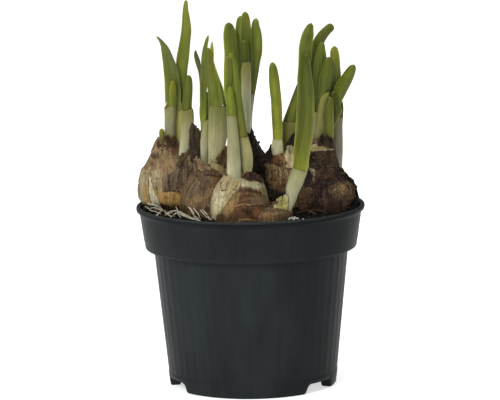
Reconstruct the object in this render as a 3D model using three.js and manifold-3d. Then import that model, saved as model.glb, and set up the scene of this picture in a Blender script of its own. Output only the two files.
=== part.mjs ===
// Six sprouting narcissus bulbs crowded into a round plastic nursery pot.
// Millimetres, +Z up. The origin is on the pot's axis, at the level it stands on. -Y is the front.
import * as THREE from "three";
import { mergeVertices } from "three/addons/utils/BufferGeometryUtils.js";
import Module from "manifold-3d";

const wasm = await Module();
wasm.setup();

// Driving dimensions: the pot
const POT_HEIGHT = 95.4;
const LIP_RADIUS = 60;
const LIP_HEIGHT = 2.6;
const LIP_ROLL = 0.8;
const COLLAR_TOP_RADIUS = 58.4;
const COLLAR_FOOT_RADIUS = 55.6;
const COLLAR_FOOT_Z = 73.2;
const BODY_TOP_RADIUS = 51.2;
const BODY_FOOT_RADIUS = 43.7;
const WALL = 1.3;
const RIB_COUNT = 50;
const RIB_DEPTH = 0.35;
const RIB_END_Z = 7.8;
const RIB_END_SLOPE = 0.6;
const FOOT_HEIGHT = 5.3;
const FOOT_RING_WIDTH = 5;
const FLOOR_THICKNESS = 1.6;
const FOOT_COUNT = 3;
const FOOT_SPAN = 86;
const FRONT_FOOT_AZIMUTH = -7;
const FOOT_CORNER = 2.4;
const DRAIN_RADIUS = 3.5;
const DRAIN_CIRCLE_RADIUS = 26;
const DRAIN_COUNT = 6;

// Driving dimensions: what stands in the pot
const GAP = 0.32;
const COMPOST_Z = 93;
const COMPOST_BUMP = 2.2;
const COMPOST_STEP_Z = 73;
const COMPOST_GAP = 0.75;
const LEAF_THICKNESS = 1.4;
const LEAF_CUP = 0.22;
const SHEATH_SQUARENESS = 2.6;
const SHEATH_FOOT_SHARE = 0.7;
const LEAF_TIP_SHARE = 0.22;
const TIP_DEPTH_SHARE = 0.65;
const RING_CROWDING = 0.35;
const ROOT_RADIUS = 0.65;
const ROOT_TAPER = 0.4;

// Finishes
const POT_FINISH = { color: 0x3a4143, roughness: 0.4 };
const COMPOST_FINISH = { color: 0x2a221c, roughness: 0.95 };
const LEAF_FINISH = { color: 0x76862f, roughness: 0.45 };
const SHEATH_FINISH = { color: 0xc3c69a, roughness: 0.55 };
const ROOT_FINISH = { color: 0xcfc9b4, roughness: 0.6 };
const TUNIC_FINISH = { color: 0x7d6552, roughness: 0.8 };
const BULB_ROUGHNESS = 0.75;

// Each bulb: the axis at its widest, the axis at its neck, how much deeper than wide it is,
// and its outline as [height, radius] from the basal plate up to the neck.
const BULBS = [
  {
    name: "bulb_left", body: [-42, 5], neck: [-43.6, 4], depth: 1, seed: 3, colour: 0xa98a5f,
    outline: [[82, 8], [89, 13.2], [94.8, 14.3], [98.4, 16.8], [103, 17.1], [107.5, 16.2], [112, 14],
      [116.5, 10.9],
      [121.5, 7.8], [127, 5.9], [130.5, 5.5]],
  },
  {
    name: "bulb_front", body: [-5.5, -39], neck: [-4.5, -38], depth: 1, seed: 5, colour: 0xa3784c,
    outline: [[82, 8.5], [90, 13.4], [97, 15.2], [104, 15.4], [109.5, 14], [113.5, 11.8], [116, 8.5]],
    offset: {
      body: [13, -40.5], neck: [14.5, -41], depth: 0.95, seed: 6,
      outline: [[83, 7.5], [90, 11.4], [96, 12], [99.5, 10.2], [101.8, 6.5]],
    },
  },
  {
    name: "bulb_mid_left", body: [-23, -17], neck: [-19.8, -17.5], depth: 1.18, seed: 7, colour: 0x7d6552,
    outline: [[82, 7], [90, 12], [97, 13.6], [104, 13.6], [110, 12.2], [115, 9.8], [119.5, 7.6]],
  },
  {
    name: "bulb_right", body: [40, -4], neck: [37.8, -3], depth: 1, seed: 11, colour: 0x6b5140,
    outline: [[82, 7.5], [90, 13.2], [97, 15.1], [103.5, 15.3], [108, 13.6], [112, 10.8], [116, 8.6],
      [121, 7.2], [127, 6.6], [132, 6.3]],
  },
  {
    name: "bulb_mid_right", body: [18.5, 8], neck: [16.6, 6.5], depth: 1.1, seed: 13, colour: 0x8a6a4a,
    outline: [[82, 6.5], [90, 10.4], [97, 11.8], [105, 12.1], [111, 11.6], [116, 9.8], [120, 7]],
  },
  {
    name: "bulb_back", body: [-3.5, 28.5], neck: [-2.2, 28], depth: 1, seed: 17, colour: 0x3f3026,
    outline: [[82, 8], [90, 13.6], [97, 15.6], [104, 15.6], [110, 13.3], [115.5, 10.6], [121, 7.8],
      [127, 5.6], [132, 4.2]],
  },
];
const BULB_SIDES = 18;
const BULB_RIDGE = 0.022;
const NECK_RAGGED = 1.3;

// Each sheath: the bulb it grows from, the points [x, y, z, width] of its middle line from root to
// mouth, its depth front to back, and how far its mouth slants up towards the right.
const SHEATHS = [
  {
    name: "sheath_left_front", bulb: "bulb_left", depth: 6, slant: 0,
    path: [[-43.4, 3, 121, 4.6], [-42.6, 3, 133, 5.2], [-41.4, 3, 142, 5.4], [-40.8, 3, 147.5, 5.6]],
  },
  {
    name: "sheath_left_rear", bulb: "bulb_left", depth: 4.2, slant: 1.2,
    path: [[-37.6, 7.4, 115, 4], [-37.4, 7.4, 128, 4.6], [-37, 7.4, 140, 4.8], [-36.8, 7.4, 149, 4.8]],
  },
  {
    name: "sheath_left_inner", bulb: "bulb_left", depth: 4.6, slant: 0,
    path: [[-34.9, -3, 113, 5], [-33.8, -2.9, 123, 6], [-33.2, -2.4, 132, 6.2], [-32.6, -1.8, 141, 6.2],
      [-32.3, -1.6, 146.5, 6]],
  },
  {
    name: "sheath_mid_left_slim", bulb: "bulb_mid_left", depth: 4.4, slant: 2.2,
    path: [[-23.9, -18.4, 110, 3.6], [-23.9, -18.2, 120, 4], [-23.6, -18, 130, 4.2],
      [-22.9, -17.6, 140.5, 4.6]],
  },
  {
    name: "sheath_mid_left_wide", bulb: "bulb_mid_left", depth: 6.4, slant: 0,
    path: [[-20, -20, 110, 3.6], [-19.6, -19.9, 119, 4.4], [-18, -19.8, 127, 7], [-16.4, -19.7, 134, 8.8],
      [-16.4, -19.6, 141, 9], [-17, -19.4, 149.5, 8.2]],
  },
  {
    name: "sheath_front_left", bulb: "bulb_front", depth: 6, slant: 0,
    path: [[-7.6, -37.6, 107, 6], [-7.8, -37.5, 116, 6.8], [-8.1, -37.4, 122, 6.6], [-8.5, -37.2, 130, 5.8],
      [-8.8, -37, 139, 5.4], [-8.9, -36.9, 147.5, 5.4]],
  },
  {
    name: "sheath_front_right", bulb: "bulb_front", depth: 4.4, slant: -0.6,
    path: [[-1.3, -33.6, 105, 3.4], [-1.4, -33.6, 116, 4.4], [-1.5, -33.6, 123, 6], [-2, -33.6, 130, 6.2],
      [-2.9, -33.6, 136.2, 5.4]],
  },
  {
    name: "sheath_front_offset", bulb: "bulb_front", depth: 7.4, slant: 1,
    path: [[18, -42, 93.5, 5.6], [19.2, -41.6, 99, 7.6], [20.8, -40.8, 105, 8.4], [23.4, -39.4, 112, 8.2],
      [25.7, -38.2, 118, 8.4]],
  },
  {
    name: "sheath_back_front", bulb: "bulb_back", depth: 5.8, slant: 0,
    path: [[-0.8, 25.6, 122, 3.2], [-0.9, 25.4, 134, 3.4], [-1.3, 25.2, 145, 4.8], [-1.5, 25.1, 156, 5.4],
      [-1.4, 25.1, 167, 5.4]],
  },
  {
    name: "sheath_back_rear", bulb: "bulb_back", depth: 4.2, slant: 0,
    path: [[-0.3, 31, 120, 3], [-0.2, 31.4, 133, 3.4], [0.5, 31.8, 141, 4.2], [1.1, 32, 149.5, 4.8]],
  },
  {
    name: "sheath_mid_right_front", bulb: "bulb_mid_right", depth: 5, slant: 0,
    path: [[14.6, 4, 108, 6.6], [14.5, 4, 117, 7.2], [14.5, 4, 123, 6.8], [15, 4, 128.8, 6.4]],
  },
  {
    name: "sheath_mid_right_rear", bulb: "bulb_mid_right", depth: 4.6, slant: 0,
    path: [[20.4, 12.2, 108, 5], [20.8, 12.5, 120, 5.8], [21.4, 13, 129, 6.8], [21.8, 13.4, 136.7, 7.4]],
  },
  {
    name: "sheath_right_left", bulb: "bulb_right", depth: 5.6, slant: 0,
    path: [[35.8, 0.6, 118, 5], [35.6, 0.8, 130, 5.6], [35.7, 0.9, 143.5, 5.8]],
  },
  {
    name: "sheath_right_torn", bulb: "bulb_right", depth: 4.2, slant: 2.4,
    path: [[38.2, -4.2, 118, 4.6], [38.2, -4.2, 130, 5.2], [38.3, -4.2, 141, 5.6],
      [39.6, -4.2, 152.5, 5.4]],
  },
  {
    name: "sheath_right_outer", bulb: "bulb_right", depth: 4.4, slant: 0,
    path: [[47.8, -1, 104, 3.4], [47, -1, 115, 4.2], [46.6, -1, 126, 5], [46.5, -1, 141.5, 5.6]],
  },
];
const SHEATH_SIDES = 10;

// Each leaf: the sheath or bulb it stands in, the points [x, y, z, width] of its middle line from root
// to tip, the length of its rounded tip, and the azimuth that its back faces, 0 for the front, 90 the right.
const LEAVES = [
  {
    name: "leaf_left_tall", root: "sheath_left_rear", tip: 6, face: 180,
    path: [[-37, 7.2, 136, 2.8], [-36.9, 7, 149, 3.2], [-35.2, 6.8, 158, 5], [-34.8, 6.6, 169.5, 6],
      [-33.5, 6.5, 177.5, 6.6], [-32.2, 6.5, 186, 5.4], [-32, 6.5, 195, 3.8], [-31.7, 6.5, 203, 2.6]],
  },
  {
    name: "leaf_left_drooping", root: "sheath_left_front", tip: 5, face: 180,
    path: [[-42, 4.5, 136, 3.2], [-41, 4.5, 147.6, 3.6], [-40.2, 4.5, 156, 6.4], [-40.8, 4.4, 164.5, 6.4],
      [-42, 4.2, 172, 5.2], [-44, 4, 178.5, 3.4], [-48.2, 4, 184.3, 1.4]],
  },
  {
    name: "leaf_left_short", root: "sheath_left_front", tip: 7, face: 0,
    path: [[-41.8, 1.6, 137, 2.8], [-40.7, 1.6, 147.5, 3.4], [-40.3, 1.6, 152.5, 4.6],
      [-39.7, 1.6, 161, 3.6]],
  },
  {
    name: "leaf_left_inner", root: "sheath_left_inner", tip: 5, face: 0,
    path: [[-33, -2.2, 134, 3.4], [-32.5, -1.7, 146.3, 4], [-32.2, -1.6, 150.5, 5.1],
      [-31.8, -1.6, 158, 4.9],
      [-31, -1.6, 164.6, 4.2]],
  },
  {
    name: "leaf_left_bud", root: "bulb_left", tip: 3.5, face: 0, sides: 6,
    path: [[-45.4, -1.2, 122, 2], [-45.8, -1.4, 130, 2.4], [-46.1, -1.5, 136.5, 2]],
  },
  {
    name: "leaf_mid_left_edge", root: "sheath_mid_left_slim", tip: 6, face: -40,
    path: [[-23.6, -17.9, 128, 2.6], [-23.1, -17.6, 141, 2.9], [-23.3, -17.4, 149, 4.6],
      [-23.4, -17.4, 165, 4.6],
      [-22.8, -17.4, 175, 3.8], [-21.5, -17.4, 182, 2.8], [-20.2, -17.4, 186.8, 1.8]],
  },
  {
    name: "leaf_mid_left_dark", root: "bulb_mid_left", tip: 7, face: 160,
    path: [[-23.2, -12.9, 113, 2.4], [-23.5, -12.8, 136, 3], [-23.8, -12.8, 150, 3],
      [-24.3, -12.8, 162, 3.2],
      [-25.2, -12.8, 170, 3], [-27.4, -12.8, 178.4, 2]],
  },
  {
    name: "leaf_mid_left_short", root: "bulb_mid_left", tip: 4, face: 0, sides: 6,
    path: [[-20.9, -14.6, 114, 2], [-21.2, -14.8, 136, 2], [-21.6, -15, 158.6, 1.8]],
  },
  {
    name: "leaf_mid_left_thin", root: "sheath_mid_left_wide", tip: 7, face: 180, sides: 6,
    path: [[-18.4, -18, 138, 2.4], [-18.6, -17.8, 149.5, 2.4], [-19, -17.6, 165, 2.4],
      [-18.8, -17.6, 175, 2],
      [-18.3, -17.6, 183, 1.4]],
  },
  {
    name: "leaf_mid_left_wide", root: "sheath_mid_left_wide", tip: 6, face: 0,
    path: [[-17.4, -21, 136, 5], [-17.2, -20.9, 149.3, 6], [-17.6, -20.8, 156, 6.4],
      [-18.6, -20.6, 165, 5.2],
      [-19.5, -20.4, 173, 3.6], [-20.1, -20.2, 180.4, 2.2]],
  },
  {
    name: "leaf_mid_left_leaning", root: "bulb_mid_left", tip: 5, face: 150,
    path: [[-15.4, -14.4, 112, 2.6], [-13.4, -13.6, 132, 3], [-12, -13, 146, 3], [-12.8, -13, 155, 2.8],
      [-15.5, -13, 163, 2.8], [-18, -13, 171, 2.2], [-18.9, -13, 175.6, 1.6]],
  },
  {
    name: "leaf_front_left", root: "sheath_front_left", tip: 5, face: 0,
    path: [[-8.8, -38.3, 136, 3.4], [-8.9, -38.2, 147.3, 3.8], [-8.9, -38.1, 151, 4.4],
      [-9.2, -38, 157, 3.8],
      [-9.7, -38, 163, 3]],
  },
  {
    name: "leaf_front_left_rear", root: "sheath_front_left", tip: 6, face: 180,
    path: [[-8.8, -35.6, 137, 2.8], [-8.9, -35.4, 148, 3], [-9.2, -35.3, 158, 3.4], [-10, -35.2, 168, 2.8],
      [-10.9, -35.2, 176.9, 1.8]],
  },
  {
    name: "leaf_front_right", root: "sheath_front_right", tip: 6, face: 15,
    path: [[-2, -33.6, 125, 3.2], [-2.9, -33.6, 136, 3.8], [-3.5, -33.6, 143, 3.8], [-4.7, -33.4, 151, 3],
      [-5.9, -33.2, 160, 3.3], [-7.2, -33, 169, 2.9], [-9.3, -32.8, 178.9, 1.8]],
  },
  {
    name: "leaf_back_left", root: "bulb_back", tip: 7, face: 170,
    path: [[-6.4, 29.5, 114, 2.6], [-8.6, 30, 128, 3], [-9.8, 30.5, 142, 4.2], [-9.6, 31, 156, 5.6],
      [-9.2, 31.2, 169, 6.5], [-9.5, 31.2, 180, 6.6], [-9.6, 31.2, 188.2, 5.8]],
  },
  {
    name: "leaf_back_rear", root: "bulb_back", tip: 7, face: 180,
    path: [[-3.6, 33, 114, 2.6], [-3.7, 34.2, 135, 3], [-4.4, 34.6, 152, 4.4], [-4.2, 34.8, 168, 4.8],
      [-4.1, 34.8, 180, 5], [-3.6, 34.8, 191.2, 4.6]],
  },
  {
    name: "leaf_back_middle", root: "sheath_back_front", tip: 6, face: 180,
    path: [[-1.2, 26.7, 152, 3], [-1.3, 26.7, 166.5, 3.6], [-0.6, 26.8, 172, 5.2], [0, 27, 180, 5.6],
      [0, 27, 187, 5.2], [-1.1, 27, 193.7, 3.8]],
  },
  {
    name: "leaf_back_right", root: "sheath_back_rear", tip: 7, face: 165,
    path: [[0.3, 31.8, 137, 2.6], [1.1, 32, 149.2, 3.2], [2.4, 32, 157, 4.8], [4, 32, 168, 5.5],
      [5, 32, 178, 5.2], [4.9, 32, 190, 3.6]],
  },
  {
    name: "leaf_back_short", root: "sheath_back_front", tip: 4, face: 0,
    path: [[-1.4, 23.9, 154, 3.2], [-1.4, 23.8, 166.7, 3.6], [-1.5, 23.8, 171, 4.4],
      [-2.1, 23.8, 178.4, 3.8]],
  },
  {
    name: "leaf_mid_right_single", root: "sheath_mid_right_front", tip: 6, face: 0,
    path: [[15, 4, 116, 3.6], [15, 4, 128.6, 4.4], [14.8, 4, 134, 5.3], [14.6, 4, 146, 5.7],
      [14, 4, 156, 5.3],
      [13, 4, 165, 4.2], [12.5, 4, 169.9, 3.4]],
  },
  {
    name: "leaf_mid_right_leaning", root: "sheath_mid_right_rear", tip: 8, face: 0,
    path: [[21.3, 13, 125, 4.4], [21.8, 13.4, 136.5, 5.6], [23.6, 13.6, 142, 6.2], [26, 14, 149, 5],
      [28.3, 14, 157, 4.2], [30.9, 14, 166, 2.8]],
  },
  {
    name: "leaf_offset_front", root: "sheath_front_offset", tip: 5, face: 0,
    path: [[23.4, -40.6, 110, 3.6], [26.1, -39.9, 118, 4.8], [28, -39.5, 125, 5.4], [29.3, -39.2, 134, 5.4],
      [30.1, -39, 145, 4.6], [30.8, -38.8, 156, 4.8], [30.6, -38.6, 165, 4], [30, -38.4, 173, 3],
      [29.6, -38.2, 179.3, 2.4]],
  },
  {
    name: "leaf_offset_tall", root: "sheath_front_offset", tip: 6, face: 180,
    path: [[21.8, -38, 110, 3], [23.9, -36.9, 117.6, 3.4], [25.6, -36.1, 130, 3.6], [26.9, -35.7, 144, 3.6],
      [28.4, -35.5, 155, 4.6], [29.1, -35.4, 164, 6.4], [29.5, -35.4, 174, 7.4], [29.7, -35.4, 181.5, 7],
      [30.9, -35.4, 189, 5], [33, -35.4, 194.6, 2.6]],
  },
  {
    name: "leaf_right_curved", root: "sheath_right_left", tip: 2, face: 180,
    path: [[35.2, 2.3, 133, 3], [35, 2.3, 143, 3.2], [34.2, 2.6, 154, 4], [34.1, 3.2, 163, 4],
      [35, 3.8, 172, 4.2],
      [36.6, 4.4, 178.5, 4.2], [39, 5, 183, 4], [41.8, 5.5, 186.1, 4], [44.9, 6, 188.9, 4]],
  },
  {
    name: "leaf_right_second", root: "sheath_right_left", tip: 6, face: 0,
    path: [[35.7, -0.4, 133, 3], [35.8, -0.5, 143, 3.6], [36.1, -0.6, 152, 4.6], [36.8, -0.8, 160, 6],
      [37.5, -0.9, 168, 6.3], [38, -1, 175, 5], [39.1, -1, 180.8, 3.4]],
  },
  {
    name: "leaf_right_centre", root: "sheath_right_torn", tip: 6, face: 0,
    path: [[38.1, -4.3, 138, 3], [38.9, -4.3, 151, 3.6], [38.6, -4.4, 156, 5], [38.9, -4.4, 162, 5],
      [39.9, -4.4, 168, 4.2], [42.3, -4.4, 174.4, 2.4]],
  },
  {
    name: "leaf_right_brown_tip", root: "sheath_right_outer", tip: 5, face: 180,
    path: [[46.6, -0.9, 130, 3.2], [46.5, -0.9, 141.3, 3.8], [46.2, -0.8, 148, 5.6], [45.5, -0.6, 158, 6.2],
      [45.2, -0.5, 168, 5.8], [45.1, -0.5, 174, 4.8], [45, -0.5, 178.1, 4]],
  },
  {
    name: "leaf_right_leaning", root: "bulb_right", tip: 5, face: 0,
    path: [[42, -3.1, 121, 2.2], [42.5, -3.2, 134, 2.4], [43.3, -3.6, 142.5, 3], [45.7, -4, 150.3, 5.6],
      [48.8, -4.4, 157.5, 6.3], [52, -4.8, 163.5, 5.6], [55.6, -5, 169.4, 4.2]],
  },
  {
    name: "leaf_right_low", root: "bulb_right", tip: 3, face: 0, sides: 6,
    path: [[41.8, -5.6, 120, 2.2], [42.5, -5.7, 134, 2.4], [43.6, -5.8, 144, 3.2], [44.2, -5.8, 150, 3.2],
      [44.8, -5.8, 155.3, 2.8]],
  },
  {
    name: "leaf_right_front", root: "bulb_right", tip: 6, face: 0,
    path: [[39.8, -7.8, 119, 2.4], [41, -8, 131, 3.8], [41.5, -8.1, 141, 4.2], [41.9, -8.1, 147, 3.8],
      [42.7, -8.1, 152.6, 3]],
  },
];
const LEAF_SIDES = 8;
const STEP_LENGTH = 7.5;

// Dry tunic pieces that stand away from the bulbs, in the same terms as the leaves.
const TUNICS = [
  {
    name: "tunic_flap_left", tip: 6, face: 10, thickness: 1,
    path: [[-41.4, -12.6, 106.4, 11], [-37.4, -11.8, 111, 10.4], [-32.6, -10.4, 118, 8.2],
      [-29.3, -8.6, 125, 5.6],
      [-27.7, -6.6, 131.6, 4.2], [-27.2, -5, 138.6, 3.4]],
  },
  {
    name: "tunic_tongue_mid", tip: 5, face: 10, thickness: 1,
    path: [[-14.2, -24.6, 113, 6.4], [-13.8, -24.4, 119, 7], [-13.4, -24.2, 125, 4.6],
      [-12.9, -24, 130.5, 2]],
  },
];

// White roots on the compost, as points [x, y, height over the compost] with their seeded wobble.
const ROOT_STRANDS = [
  [[-55.5, -3, 1.6], [-52.4, -9, 3.2], [-48.4, -17, 3], [-43.6, -28, 1.8]],
  [[-54, -10, 1.9], [-50.5, -16, 2.6], [-47.5, -24, 2.4], [-42.5, -25, 2.4]],
  [[-46.5, -23, 1.4], [-42, -24.6, 2.6], [-38.5, -28.5, 2.4], [-36.6, -37, 1.2]],
  [[-45, -26.6, 1.6], [-38, -31.4, 2.4], [-33.5, -37.8, 2.2], [-29.5, -44, 1.2]],
  [[-36.6, -36.4, 1.2], [-34.4, -35.4, 4.6], [-31.4, -40.8, 2.6], [-29, -44.4, 1.4]],
  [[-33.6, -38.4, 2.2], [-30.6, -37.4, 4.4], [-27.6, -41.6, 3], [-25.8, -45.6, 1]],
];
const ROOT_SIDES = 5;
const ROOT_STEP = 6;

// A steady source of random numbers
function seeded(seed) {
  let state = seed * 7919 + 17;
  return () => {
    state = (state * 16807) % 2147483647;
    return state / 2147483647;
  };
}

// A closed mesh as a solid that can be joined and cut
function toSolid(geometry) {
  const bare = geometry.clone();
  bare.deleteAttribute("normal");
  bare.deleteAttribute("uv");
  const merged = mergeVertices(bare, 1e-4);
  const mesh = new wasm.Mesh({
    numProp: 3,
    vertProperties: new Float32Array(merged.attributes.position.array),
    triVerts: new Uint32Array(merged.index.array),
  });
  const solid = new wasm.Manifold(mesh);
  if (solid.volume() < 0) {
    throw new Error("a solid is inside out");
  }
  return solid;
}

// A solid as a mesh with flat faces
function toMesh(name, solid, finish) {
  const { vertProperties, triVerts } = solid.getMesh();
  const geometry = new THREE.BufferGeometry();
  geometry.setAttribute("position", new THREE.BufferAttribute(new Float32Array(vertProperties), 3));
  geometry.setIndex(new THREE.BufferAttribute(new Uint32Array(triVerts), 1));
  geometry.computeVertexNormals();
  const material = new THREE.MeshStandardMaterial({ ...finish, metalness: 0 });
  const mesh = new THREE.Mesh(geometry, material);
  mesh.name = name;
  return mesh;
}

// A closed tube whose points are placed by a rule: round is the angle, along runs 0 to 1 from root to end,
// and out is 1 on the skin and 0 at the middle of either end.
function shapedTube(sides, steps, place) {
  const geometry = new THREE.CylinderGeometry(1, 1, 1, sides, steps, false);
  const position = geometry.attributes.position;
  for (let i = 0; i < position.count; i += 1) {
    const x = position.getX(i);
    const z = position.getZ(i);
    const out = Math.hypot(x, z) > 0.5 ? 1 : 0;
    const round = Math.atan2(-z, x);
    const point = place(round, position.getY(i) + 0.5, out);
    position.setXYZ(i, point.x, point.y, point.z);
  }
  return geometry;
}

// The middle line through [x, y, z, width] points, and the width along it
function middleLine(path) {
  const points = path.map(([x, y, z]) => new THREE.Vector3(x, y, z));
  const curve = new THREE.CatmullRomCurve3(points, false, "centripetal");
  const widths = new THREE.CatmullRomCurve3(path.map(([, , , w], i) => new THREE.Vector3(i, w, 0)));
  const length = curve.getLength();
  return {
    length,
    at(along, extra = 0) {
      const t = curve.getUtoTmapping(Math.min(Math.max(along, 0), 1));
      const tangent = curve.getTangent(t);
      const point = curve.getPoint(t).addScaledVector(tangent, extra);
      return { point, tangent, width: widths.getPoint(t).y };
    },
  };
}

// The directions across a section and outwards, square to the middle line, where outwards faces an azimuth
function frameAt(tangent, azimuth) {
  const angle = THREE.MathUtils.degToRad(azimuth);
  const facing = new THREE.Vector3(Math.sin(angle), -Math.cos(angle), 0);
  const across = new THREE.Vector3().crossVectors(facing, tangent).normalize();
  const outward = new THREE.Vector3().crossVectors(tangent, across).normalize();
  return { across, outward };
}

// A strap leaf: a thin arched blade with a rounded tip. A grown one cuts the leaf's own pocket.
function leafSolid(leaf, grow = 0) {
  const line = middleLine(leaf.path);
  const sides = leaf.sides ?? LEAF_SIDES;
  const steps = Math.max(5, Math.round(line.length / STEP_LENGTH));
  const thickness = leaf.thickness ?? LEAF_THICKNESS;
  const half = Math.PI / sides;
  const tipStart = 1 - leaf.tip / line.length;
  const geometry = shapedTube(sides, steps, (round, along, out) => {
    const eased = along + RING_CROWDING * along * (1 - along);
    const { point, tangent, width } = line.at(eased, along === 0 ? -grow : along === 1 ? grow : 0);
    const { across, outward } = frameAt(tangent, leaf.face);
    const intoTip = Math.min(Math.max((eased - tipStart) / (1 - tipStart), 0), 1);
    const taper = Math.max(Math.sqrt(1 - intoTip ** 2), LEAF_TIP_SHARE);
    const angle = round + half;
    const sideways = (out * Math.cos(angle)) / Math.cos(half);
    const deep = out * Math.sin(angle);
    const halfWidth = (width / 2) * taper;
    const halfDepth = (thickness / 2) * Math.max(taper, TIP_DEPTH_SHARE);
    const arch = LEAF_CUP * halfWidth * (0.5 - sideways ** 2);
    point.addScaledVector(across, sideways * (halfWidth + grow));
    point.addScaledVector(outward, deep * (halfDepth + grow) + arch);
    return point;
  });
  return toSolid(geometry);
}

// A sheath: a fleshy sleeve, a rounded oblong in section, with a slanting mouth
function sheathSolid(sheath, grow = 0) {
  const line = middleLine(sheath.path);
  const steps = Math.max(4, Math.round(line.length / STEP_LENGTH));
  const power = 2 / SHEATH_SQUARENESS;
  const geometry = shapedTube(SHEATH_SIDES, steps, (round, along, out) => {
    const { point, tangent, width } = line.at(along, along === 0 ? -grow : along === 1 ? grow : 0);
    const { across, outward } = frameAt(tangent, 0);
    const cosine = Math.cos(round);
    const sine = Math.sin(round);
    const sideways = out * Math.sign(cosine) * Math.abs(cosine) ** power;
    const deep = out * Math.sign(sine) * Math.abs(sine) ** power;
    const depth = sheath.depth * Math.min(1, SHEATH_FOOT_SHARE + along / 2);
    point.addScaledVector(across, sideways * (width / 2 + grow));
    point.addScaledVector(outward, deep * (depth / 2 + grow));
    if (along === 1) {
      point.z += (sheath.slant / 2) * sideways * Math.sign(across.x);
    }
    return point;
  });
  return toSolid(geometry);
}

// A bulb: its outline turned round a leaning axis, with faint upright ridges and a ragged neck
function bulbSolid(bulb, grow = 0) {
  const random = seeded(bulb.seed);
  const phases = [random() * 6, random() * 6, random() * 6];
  const outline = bulb.outline;
  const steps = outline.length - 1;
  const [bodyX, bodyY] = bulb.body;
  const [neckX, neckY] = bulb.neck;
  const top = outline[steps][0];
  const geometry = shapedTube(BULB_SIDES, steps, (round, along, out) => {
    const index = Math.round(along * steps);
    const [height, radius] = outline[index];
    const lean = THREE.MathUtils.smoothstep(height, 103, top);
    const ridge = 1 + BULB_RIDGE * (Math.sin(3 * round + phases[0]) + 0.7 * Math.sin(7 * round + phases[1]));
    const reach = out * (radius * ridge + grow);
    const ragged = index === steps && out ? NECK_RAGGED * Math.sin(5 * round + phases[2]) : 0;
    const lift = index === steps ? grow : index === 0 ? -grow : 0;
    return new THREE.Vector3(
      bodyX + (neckX - bodyX) * lean + reach * Math.cos(round),
      bodyY + (neckY - bodyY) * lean + reach * Math.sin(round) * bulb.depth,
      height + lift + ragged,
    );
  });
  const solid = toSolid(geometry);
  return bulb.offset ? solid.add(bulbSolid(bulb.offset, grow)) : solid;
}

// The pot's skin and its hollow as outlines of [radius, height], turned round the axis
const bodySlope = (BODY_TOP_RADIUS - BODY_FOOT_RADIUS) / COLLAR_FOOT_Z;
const bodyRadius = (z) => BODY_FOOT_RADIUS + bodySlope * z;
const collarSlope = (COLLAR_TOP_RADIUS - COLLAR_FOOT_RADIUS) / (POT_HEIGHT - LIP_HEIGHT - COLLAR_FOOT_Z);
const collarRadius = (z) => COLLAR_FOOT_RADIUS + collarSlope * (z - COLLAR_FOOT_Z);
const FLOOR_TOP = FOOT_HEIGHT + FLOOR_THICKNESS;

const SKIN = [
  [0, FOOT_HEIGHT],
  [BODY_FOOT_RADIUS - FOOT_RING_WIDTH, FOOT_HEIGHT],
  [BODY_FOOT_RADIUS - FOOT_RING_WIDTH, 0],
  [BODY_FOOT_RADIUS, 0],
  [bodyRadius(RIB_END_Z), RIB_END_Z],
  [bodyRadius(RIB_END_Z + RIB_END_SLOPE), RIB_END_Z + RIB_END_SLOPE],
  [BODY_TOP_RADIUS, COLLAR_FOOT_Z],
  [COLLAR_FOOT_RADIUS, COLLAR_FOOT_Z],
  [COLLAR_TOP_RADIUS, POT_HEIGHT - LIP_HEIGHT],
  [LIP_RADIUS, POT_HEIGHT - LIP_HEIGHT + LIP_ROLL],
  [LIP_RADIUS, POT_HEIGHT - LIP_ROLL],
  [LIP_RADIUS - LIP_ROLL, POT_HEIGHT],
  [0, POT_HEIGHT],
];
const FIRST_RIBBED_ROW = 5;
const LAST_RIBBED_ROW = 6;
const HOLLOW = [
  [0, FLOOR_TOP],
  [bodyRadius(FLOOR_TOP) - WALL, FLOOR_TOP],
  [bodyRadius(COLLAR_FOOT_Z) - WALL, COLLAR_FOOT_Z],
  [COLLAR_FOOT_RADIUS - WALL, COLLAR_FOOT_Z + WALL],
  [collarRadius(POT_HEIGHT) - WALL, POT_HEIGHT - LIP_ROLL],
  [collarRadius(POT_HEIGHT) - WALL + 1.25 * LIP_ROLL, POT_HEIGHT + LIP_ROLL / 4],
  [0, POT_HEIGHT + LIP_ROLL / 4],
];
const HOLLOW_SIDES = 50;

function turned(outline, sides) {
  const points = outline.map(([radius, z]) => new THREE.Vector2(radius, z));
  return new THREE.LatheGeometry(points, sides).rotateX(Math.PI / 2);
}

function potSolid() {
  const skin = turned(SKIN, RIB_COUNT * 2);
  const position = skin.attributes.position;
  for (let i = 0; i < position.count; i += 1) {
    const row = i % SKIN.length;
    const turn = Math.floor(i / SKIN.length);
    if (turn % 2 === 1 && row >= FIRST_RIBBED_ROW && row <= LAST_RIBBED_ROW) {
      const x = position.getX(i);
      const y = position.getY(i);
      const inwards = 1 - RIB_DEPTH / Math.hypot(x, y);
      position.setX(i, x * inwards);
      position.setY(i, y * inwards);
    }
  }
  let pot = toSolid(skin).subtract(toSolid(turned(HOLLOW, HOLLOW_SIDES)));
  const notchSpan = 360 / FOOT_COUNT - FOOT_SPAN;
  for (let i = 0; i < FOOT_COUNT; i += 1) {
    const azimuth = FRONT_FOOT_AZIMUTH + (i + 0.5) * (360 / FOOT_COUNT);
    pot = pot.subtract(notchSolid(azimuth, notchSpan));
  }
  for (let i = 0; i < DRAIN_COUNT; i += 1) {
    const angle = ((i + 0.5) * 2 * Math.PI) / DRAIN_COUNT;
    const drain = new THREE.CylinderGeometry(DRAIN_RADIUS, DRAIN_RADIUS, FOOT_HEIGHT, 8).rotateX(Math.PI / 2);
    drain.translate(DRAIN_CIRCLE_RADIUS, 0, FOOT_HEIGHT);
    drain.rotateZ(angle);
    pot = pot.subtract(toSolid(drain));
  }
  return pot;
}

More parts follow.
